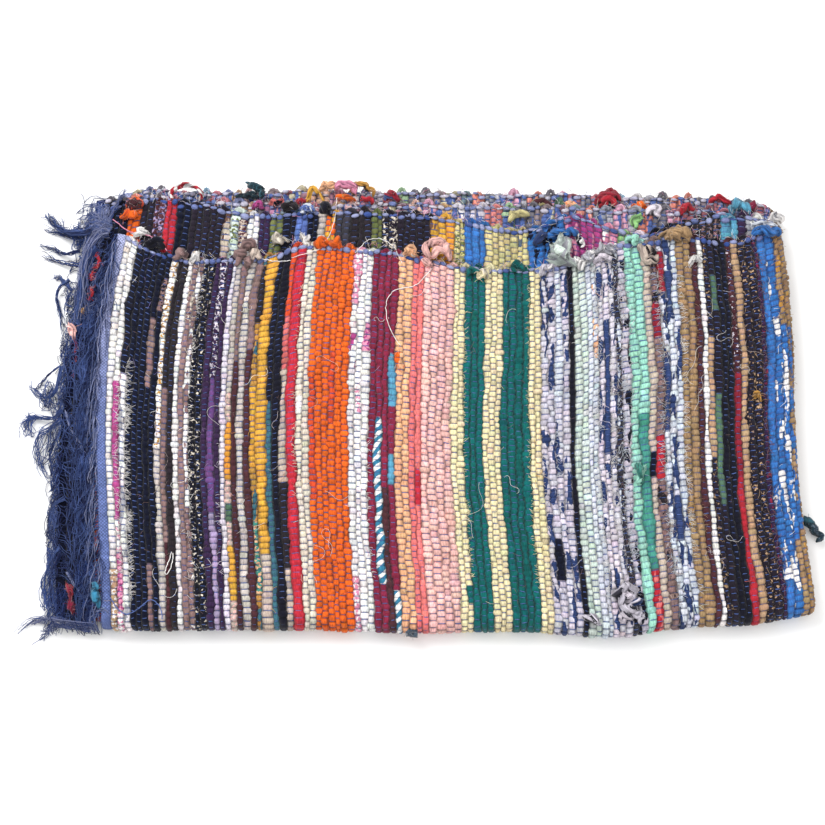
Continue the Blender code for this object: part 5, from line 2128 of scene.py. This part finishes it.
@dataclass
class LooseEnds:
    """Ravelled threads, curls of lint and the hairs of frayed rag.

    curls lie in the box from curl_low to curl_high, and fuzz counts the hairs of a selvedge.
    stray is the span of a stray hair's length, and curl that of a curl's.
    """

    pack: FoldedPack
    weave: Weave
    draw: Draw
    stock: MeshStock = field(default_factory=MeshStock)
    curls: int = 46
    curl_low: tuple[float, float] = (-0.29, -0.19)
    curl_high: tuple[float, float] = (0.37, 0.14)
    curl: tuple[float, float] = (0.022, 0.060)
    fuzz: int = 240
    stray: tuple[float, float] = (0.003, 0.010)

    def add_threads(self) -> None:
        """Adds the long ravelled threads."""
        for colour, radius, *marks in LOOSE_THREADS:
            spots = self.pack.over(Layer.FRONT_OUTER, np.array(marks, float) / MM)
            path = smooth_path(spots, 6 * len(spots))[None]
            path[..., :2] += self.draw.normal(0.0, 0.0003, path[..., :2].shape)
            rings = tube_rings(path, np.full((1, path.shape[1]), radius / MM), 4)
            tint = dye(colour)
            lie = spread(0.0, np.linspace(0.0, 0.1, path.shape[1])[:, None], 0.0)
            self.stock.add_tubes(rings, tint, tint, HAIR_LOOK, lie)

    def add_curls(self) -> None:
        """Adds long thin curls of lint that lie on the face of the rug."""
        s = np.linspace(0.0, 1.0, 18)[None]
        x, y = (self.draw.uniform(*span, (self.curls, 1)) for span in zip(self.curl_low, self.curl_high))
        turn = self.draw.uniform(0.0, math.tau, (self.curls, 1))
        bend = self.draw.normal(0.0, 2.4, (self.curls, 1))
        ripple = self.draw.uniform(0.3, 1.6, (self.curls, 1))
        heading = turn + bend * s + ripple * np.sin(math.tau * (1.3 * s + turn))
        step = self.draw.uniform(*self.curl, (self.curls, 1)) / (s.shape[1] - 1)
        x = x + np.cumsum(np.cos(heading) * step, axis=1)
        y = y + np.cumsum(np.sin(heading) * step, axis=1)
        height = 0.0016 + 0.0010 * np.sin(9.0 * s + 3.0 * turn)
        path = self.pack.over(Layer.FRONT_OUTER, np.stack([x, y, height], axis=-1))
        rings = tube_rings(path, np.full((1, s.shape[1]), HAIR_RADIUS), 3)
        tint = mix(dye("white"), dye("taupe"), self.draw.random((self.curls, 1, 1, 1)) ** 2)
        self.stock.add_tubes(rings, tint, tint, HAIR_LOOK, np.zeros(3))

    def roots(self, spots: Array) -> Array:
        """Places on the front of the outer half.

        Args:
            spots: For each, its rib's number, its warp step, and its place across the rib.

        Returns:
            The points.
        """
        number, bead, across = spots.T
        edges = self.weave.edges(bead)
        rows = np.arange(len(number))
        share = mix(edges[rows, number.astype(int)], edges[rows, number.astype(int) + 1], across)
        lift = np.full(len(number), 0.0025)
        return self.pack.place(Half.OUTER, share, self.pack.walk_at(Half.OUTER, bead), lift)

    def add_edge_fuzz(self) -> None:
        """Adds hairs along the four selvedges."""
        names = ("denim", "white", "taupe", "lilac_white", "charcoal", "cream", "pink", "white_blue")
        for column, layer in enumerate(Layer, start=1):
            x = self.draw.uniform(-0.30, 0.39, self.fuzz)
            y = read_table(SELVEDGES, x, column) + self.draw.uniform(-0.006, 0.003, self.fuzz)
            root = self.pack.over(layer, np.stack([x, y, np.full_like(x, 0.0006)], axis=-1))
            heading = self.draw.normal(math.pi / 2.0, 1.1, self.fuzz)
            length = self.draw.uniform(*self.stray, self.fuzz)
            tint = np.array([dye(name) for name in self.draw.choice(names, self.fuzz)])
            lay_hairs(self.stock, self.draw, root, heading, length, tint)

    def add_stray_hairs(self) -> None:
        """Adds hairs all over the front, most of them on frayed rag."""
        spots, tints = [], []
        for rib in self.weave.ribs:
            for bead in range(self.pack.legs[Half.OUTER][0]):
                for _ in range(self.draw.poisson(CUTS[rib.cuts[bead]].hairs * WARP_GAP)):
                    spots.append((rib.number, bead + self.draw.random(), self.draw.random()))
                    near = rib.accents[bead] if self.draw.random() < 0.5 else rib.dyes[bead]
                    tints.append(np.maximum(near, dye("taupe") * 0.7))
        heading = self.draw.uniform(0.0, math.tau, len(spots))
        length = self.draw.uniform(*self.stray, len(spots))
        lay_hairs(self.stock, self.draw, self.roots(np.array(spots)), heading, length, np.array(tints))

    def add_combs(self) -> None:
        """Adds the combs of hairs at frayed edges."""
        front = self.pack.legs[Half.OUTER][0]
        numbers = {rib.stripe: rib.number for rib in self.weave.ribs}
        for stripe, rib, side, low, high, hairs, length, colour in COMBS:
            count = int(hairs * (high - low) * front * WARP_GAP)
            bead = self.draw.uniform((1.0 - high) * front, (1.0 - low) * front, count)
            thick = 0.5 + 0.5 * np.sin(bead * 0.9) * np.sin(bead * 0.23 + length)
            bead = bead[self.draw.random(count) < thick]
            count = len(bead)
            across = 0.5 + side * self.draw.uniform(0.30, 0.52, count)
            spots = np.stack([np.full(count, float(numbers[(stripe, rib)])), bead, across], axis=-1)
            heading = self.draw.normal(0.0 if side > 0 else math.pi, 0.55, count)
            reach = length / MM * self.draw.uniform(0.5, 1.2, count)
            tint = dye(colour)[None] * self.draw.uniform(0.75, 1.08, (count, 1))
            lay_hairs(self.stock, self.draw, self.roots(spots), heading, reach, tint)


# The rug


@dataclass
class RagRug:
    """The whole folded rug: ground, rag strips, warp, headings, fringe and rag ends.

    open_end is the share of the inner half that shows beside its fringe over its whole width,
    and open_band the beads of the others that show at the selvedge. outer_hem and inner_hem
    are the beads of a back selvedge that show from above and how much thicker than elsewhere
    their threads are. cord_at and turn_at are the warp steps from a selvedge at which its
    thick warp lies and its rags turn back. back_fade and back_pale are how far the dyes of
    the back rags stray, and how much of them is lost to the pale side of the rag.
    """

    seed: int = 7
    open_end: float = 0.075
    open_band: int = 10
    outer_hem: tuple[int, float] = (4, 1.5)
    inner_hem: tuple[int, float] = (5, 1.4)
    cord_at: float = 0.65
    turn_at: float = 0.35
    back_fade: float = 0.12
    back_pale: float = 0.30
    pack: FoldedPack = field(default_factory=FoldedPack)
    things: list[Thing] = field(default_factory=list)
    outer: Weave = field(init=False)
    inner: Weave = field(init=False)
    rags: Finish = field(init=False)
    warp: Finish = field(init=False)

    def keep(self, thing: Thing, slot: str) -> Thing:
        """Puts a piece on the rug's body and reports it.

        Args:
            thing: The piece.
            slot: The material slot that it would take its finish from; not used.

        Returns:
            The piece.
        """
        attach(thing, "root")
        faces = sum(len(p.vertices) - 2 for p in thing.data.polygons)
        log.info("%s: %d triangles", thing.name, faces)
        self.things.append(thing)
        return thing

    def keep_pair(self, strips: MeshStock, threads: MeshStock, place: str) -> None:
        """Keeps the rag strips and the warp threads of a face, named for its place."""
        self.keep(strips.build("rag_strips_" + place, self.rags), "rag_weave")
        self.keep(threads.build("warp_threads_" + place, self.warp), "warp_blue")

    def half_weave(self, half: Half, stripes: Sequence[tuple]) -> Weave:
        """Plans the rag strips of one half.

        Args:
            half: The half.
            stripes: Its stripe table.

        Returns:
            The weave.
        """
        draw = np.random.default_rng(self.seed + len(stripes))
        legs = self.pack.legs[half]
        return Weave(self.pack, half, plan_ribs(stripes, sum(legs), legs[0], draw), HALF_LENGTH, draw)

    def redye_back(self, weave: Weave, last_beads: int, shift: int) -> None:
        """Gives the back selvedge of a half its own rags.

        Args:
            weave: The half's weave.
            last_beads: How many beads from the back selvedge they fill.
            shift: Where in the row of rags it starts.
        """
        rags = BACK_RAGS[shift:] + BACK_RAGS[:shift]
        marks = np.cumsum([width for _, width in rags]) / sum(width for _, width in rags)
        for rib in weave.ribs:
            found = int(np.searchsorted(marks, rib.start + rib.width / 2))
            name = rags[min(found, len(rags) - 1)][0]
            fade = 1.0 + self.back_fade * weave.draw.standard_normal()
            rib.dyes[-last_beads:] = mix(dye(name), dye("lilac_grey"), self.back_pale) * fade
            rib.accents[-last_beads:] = dye("denim")
            for bead in range(len(rib.cuts) - last_beads, len(rib.cuts)):
                rib.cuts[bead] = Rag.PIECED

    def build_strips(self) -> None:
        """Builds the rag strips and the warp threads of all faces that show."""
        outer = self.half_weave(Half.OUTER, OUTER_STRIPES)
        inner = self.half_weave(Half.INNER, INNER_STRIPES)
        self.redye_back(outer, last_beads=6, shift=9)
        self.redye_back(inner, last_beads=7, shift=0)
        front, total = self.pack.marks(Half.OUTER)[2:]
        thirds = np.array_split(np.arange(len(outer.ribs)), 3)
        for name, numbers in zip(("left", "middle", "right"), thirds):
            strips, threads = MeshStock(), MeshStock()
            for k in numbers:
                outer.add_rib(strips, outer.ribs[k], 0.0, front, 1)
                outer.add_threads(threads, outer.ribs[k], 0.0, front, 1)
            self.keep_pair(strips, threads, "front_" + name)

        under = MeshStock()
        for rib in outer.ribs:
            outer.add_rib(under, rib, front, total - 1, 1, coarse=True)
        self.keep(under.build("rag_strips_underside", self.rags), "rag_weave")

        strips, threads = MeshStock(), MeshStock()
        hem, swell = self.outer_hem
        for rib in outer.ribs:
            outer.add_rib(strips, rib, total - hem, total, -1)
            outer.add_threads(threads, rib, total - hem, total, -1, swell)
        count = self.pack.legs[Half.INNER][0]
        whole = len(inner.ribs[0].cuts)
        hem, swell = self.inner_hem
        for rib in inner.ribs:
            last = count if rib.start < self.open_end else self.open_band
            inner.add_rib(strips, rib, 0.0, last, -1)
            inner.add_threads(threads, rib, 0.0, last, -1)
            inner.add_rib(strips, rib, whole - hem, whole, 1)
            inner.add_threads(threads, rib, whole - hem, whole, 1, swell)
        self.keep_pair(strips, threads, "inner")
        self.outer, self.inner = outer, inner

    def build_turn(self) -> None:
        """Builds the three rag strips around the cross fold."""
        turn = self.half_weave(Half.TURN, TURN_STRIPES)
        turn.length = TURN_LENGTH
        total = len(turn.ribs[0].cuts)
        strips, threads = MeshStock(), MeshStock()
        for rib in turn.ribs:
            turn.add_rib(strips, rib, 0.0, total, 1)
            turn.add_threads(threads, rib, 0.0, total, 1)
        self.keep_pair(strips, threads, "turn")

    def build_selvedges(self) -> None:
        """Builds the thick warp and the turned rags at the four selvedges."""
        threads, turns = MeshStock(), MeshStock()
        # weave, at the front, side, roughness
        for weave, at_front, side, rough in (
            (self.outer, True, 1, 0.15),
            (self.inner, True, -1, 0.45),
            (self.inner, False, 1, 0.70),
            (self.outer, False, -1, 0.90),
        ):
            last = len(weave.ribs[0].cuts)
            weave.add_heavy_warp(threads, self.cord_at if at_front else last - self.cord_at, side, rough)
            bead, owner = (self.turn_at, 1) if at_front else (last - self.turn_at, last - 2)
            weave.add_rag_turns(turns, bead, owner, side, rough)
        self.keep(threads.build("selvedge_threads", self.warp), "warp_blue")
        self.keep(turns.build("selvedge_turns", self.rags), "rag_weave")

    def build_fringe(self) -> None:
        """Builds the headings and the yarns past them."""
        draw = np.random.default_rng(self.seed + FRINGE_DRAW)
        # The heading's hollow colour is the painted shade of its hollows
        plain = ClothFinish("heading_cotton", 0.0036, 0.1, shown=0.55, hollow_shade=(0.2, 0.2, 0.3)).make()
        for name, column, depth, low_dye, high_dye in (
            ("outer", OUTER_END, DEPTH_OUTER, "heading_blue", "periwinkle"),
            # The inner heading lies under the outer layer: its dark dyes are partly its own colour and
            # partly painted shade
            ("inner", INNER_END, DEPTH_INNER, "navy", "warp_dark"),
        ):
            heading = Heading(self.pack, "heading_" + name, column, depth, low_dye, high_dye)
            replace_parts(self.keep(heading.build(plain, draw), "warp_blue"), "fringe_" + name)
            fringe = Fringe(self.pack, draw)
            for fall in FALLS:
                if abs(fall.layer.value) == depth:
                    fringe.add_fall(fall)
            for add, rows in ((fringe.add_tuft, TUFTS), (fringe.add_tangle, TANGLES)):
                for row in rows:
                    if row[0] == name:
                        add(row)
            yarns = fringe.stock.build("yarns_" + name, self.warp)
            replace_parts(self.keep(yarns, "warp_blue"), "fringe_" + name)

    def build_rag_ends(self) -> None:
        """Builds the rags that stand out of the weave, each node's in its place."""
        draw = np.random.default_rng(self.seed + RAG_DRAW)
        puffs = MeshStock()
        for name, layer, slot, rags in WADS:
            stock = puffs if name == "rag_puffs" else MeshStock()
            Wad(self.pack, layer, rags, draw).add(stock)
            if stock is not puffs:
                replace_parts(self.keep(stock.build(name + "_cloth", self.rags), slot), name)
        self.keep(puffs.build("rag_puffs", self.rags), "rag_weave")

    def build_loose(self) -> None:
        """Builds the ravelled threads, the curls and the hairs."""
        loose = LooseEnds(self.pack, self.outer, np.random.default_rng(self.seed + LOOSE_DRAW))
        loose.add_threads()
        loose.add_curls()
        loose.add_stray_hairs()
        loose.add_combs()
        loose.add_edge_fuzz()
        self.keep(loose.stock.build("loose_threads", self.rags), "rag_weave")

    def build(self) -> None:
        self.rags = ClothFinish("rag_cloth").make()
        # The warp's hollow colour is the painted shade of its hollows
        self.warp = ClothFinish("warp_cotton", fuzz=0.08, ply=0.0016, hollow_shade=(0.22, 0.22, 0.30)).make()
        self.build_strips()
        ground = self.keep(Ground(self.pack).build(self.rags, self.outer, self.inner), "rag_weave")
        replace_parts(ground, "rug_cloth")
        self.build_turn()
        self.build_selvedges()
        self.build_fringe()
        self.build_rag_ends()
        self.build_loose()


# The studio


# name, place in metres, width in metres, power in watts
LIGHTS = read_rows("""
    key_light -1.0,1.1,1.7 1.3 47.0
    fill_light 1.4,-1.2,1.7 2.0 17.0
    top_light 0.0,0.0,2.6 2.2 28.0
""")


@dataclass
class Studio:
    """A pale floor, soft lights, and the camera where the photo was taken from.

    distance and floor are in metres, elevation in degrees, and lens and sensor in mm. room
    is the strength of the light from all around.
    """

    target: tuple[float, float, float] = (0.0002, -0.0127, 0.015)
    distance: float = 1.65
    elevation: float = 76.0
    lens: float = 68.376
    sensor: float = 36.0
    floor: float = 12.0
    room: float = 0.48

    def build(self) -> None:
        """Makes the floor, the lights and the camera."""
        bpy.ops.object.select_all(action="DESELECT")
        bpy.ops.mesh.primitive_plane_add(size=self.floor, location=(0.0, 0.0, 0.0))
        floor = bpy.context.active_object
        floor.name = "pale_floor"
        floor.data.materials.append(FloorFinish().make())
        for light in LIGHTS:
            self.add_light(*light)
        world = bpy.data.worlds.new("soft_room")
        bpy.context.scene.world = world
        world.use_nodes = True
        sky = world.node_tree.nodes["Background"]
        sky.inputs["Color"].default_value = (1.0, 1.0, 1.0, 1.0)
        sky.inputs["Strength"].default_value = self.room
        bpy.context.scene.view_settings.view_transform = "Standard"
        self.add_camera()

    def add_light(self, name: str, place: tuple[float, float, float], size: float, power: float) -> None:
        """Adds a square soft light that faces the rug.

        Args:
            name: Its name.
            place: Where it stands.
            size: Its width.
            power: Its power in watts.
        """
        lamp = bpy.data.lights.new(name, "AREA")
        lamp.shape = "SQUARE"
        lamp.size = size
        lamp.energy = power
        holder = bpy.data.objects.new(name, lamp)
        bpy.context.scene.collection.objects.link(holder)
        holder.location = place
        holder.rotation_euler = (Vector(self.target) - Vector(place)).to_track_quat("-Z", "Y").to_euler()

    def add_camera(self) -> None:
        """Adds the camera."""
        tilt = math.radians(self.elevation)
        offset = Vector((0.0, -math.cos(tilt), math.sin(tilt))) * self.distance
        lens = bpy.data.cameras.new("camera")
        lens.lens = self.lens
        lens.sensor_width = self.sensor
        camera = bpy.data.objects.new("camera", lens)
        bpy.context.scene.collection.objects.link(camera)
        camera.location = Vector(self.target) + offset
        camera.rotation_euler = (-offset).to_track_quat("-Z", "Y").to_euler()
        bpy.context.scene.camera = camera


def main() -> None:
    """Builds the studio and the rug."""
    logging.basicConfig(level=logging.INFO, format="%(message)s")
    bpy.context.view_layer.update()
    Studio().build()
    RagRug().build()
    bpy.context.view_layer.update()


if __name__ == "__main__":
    main()
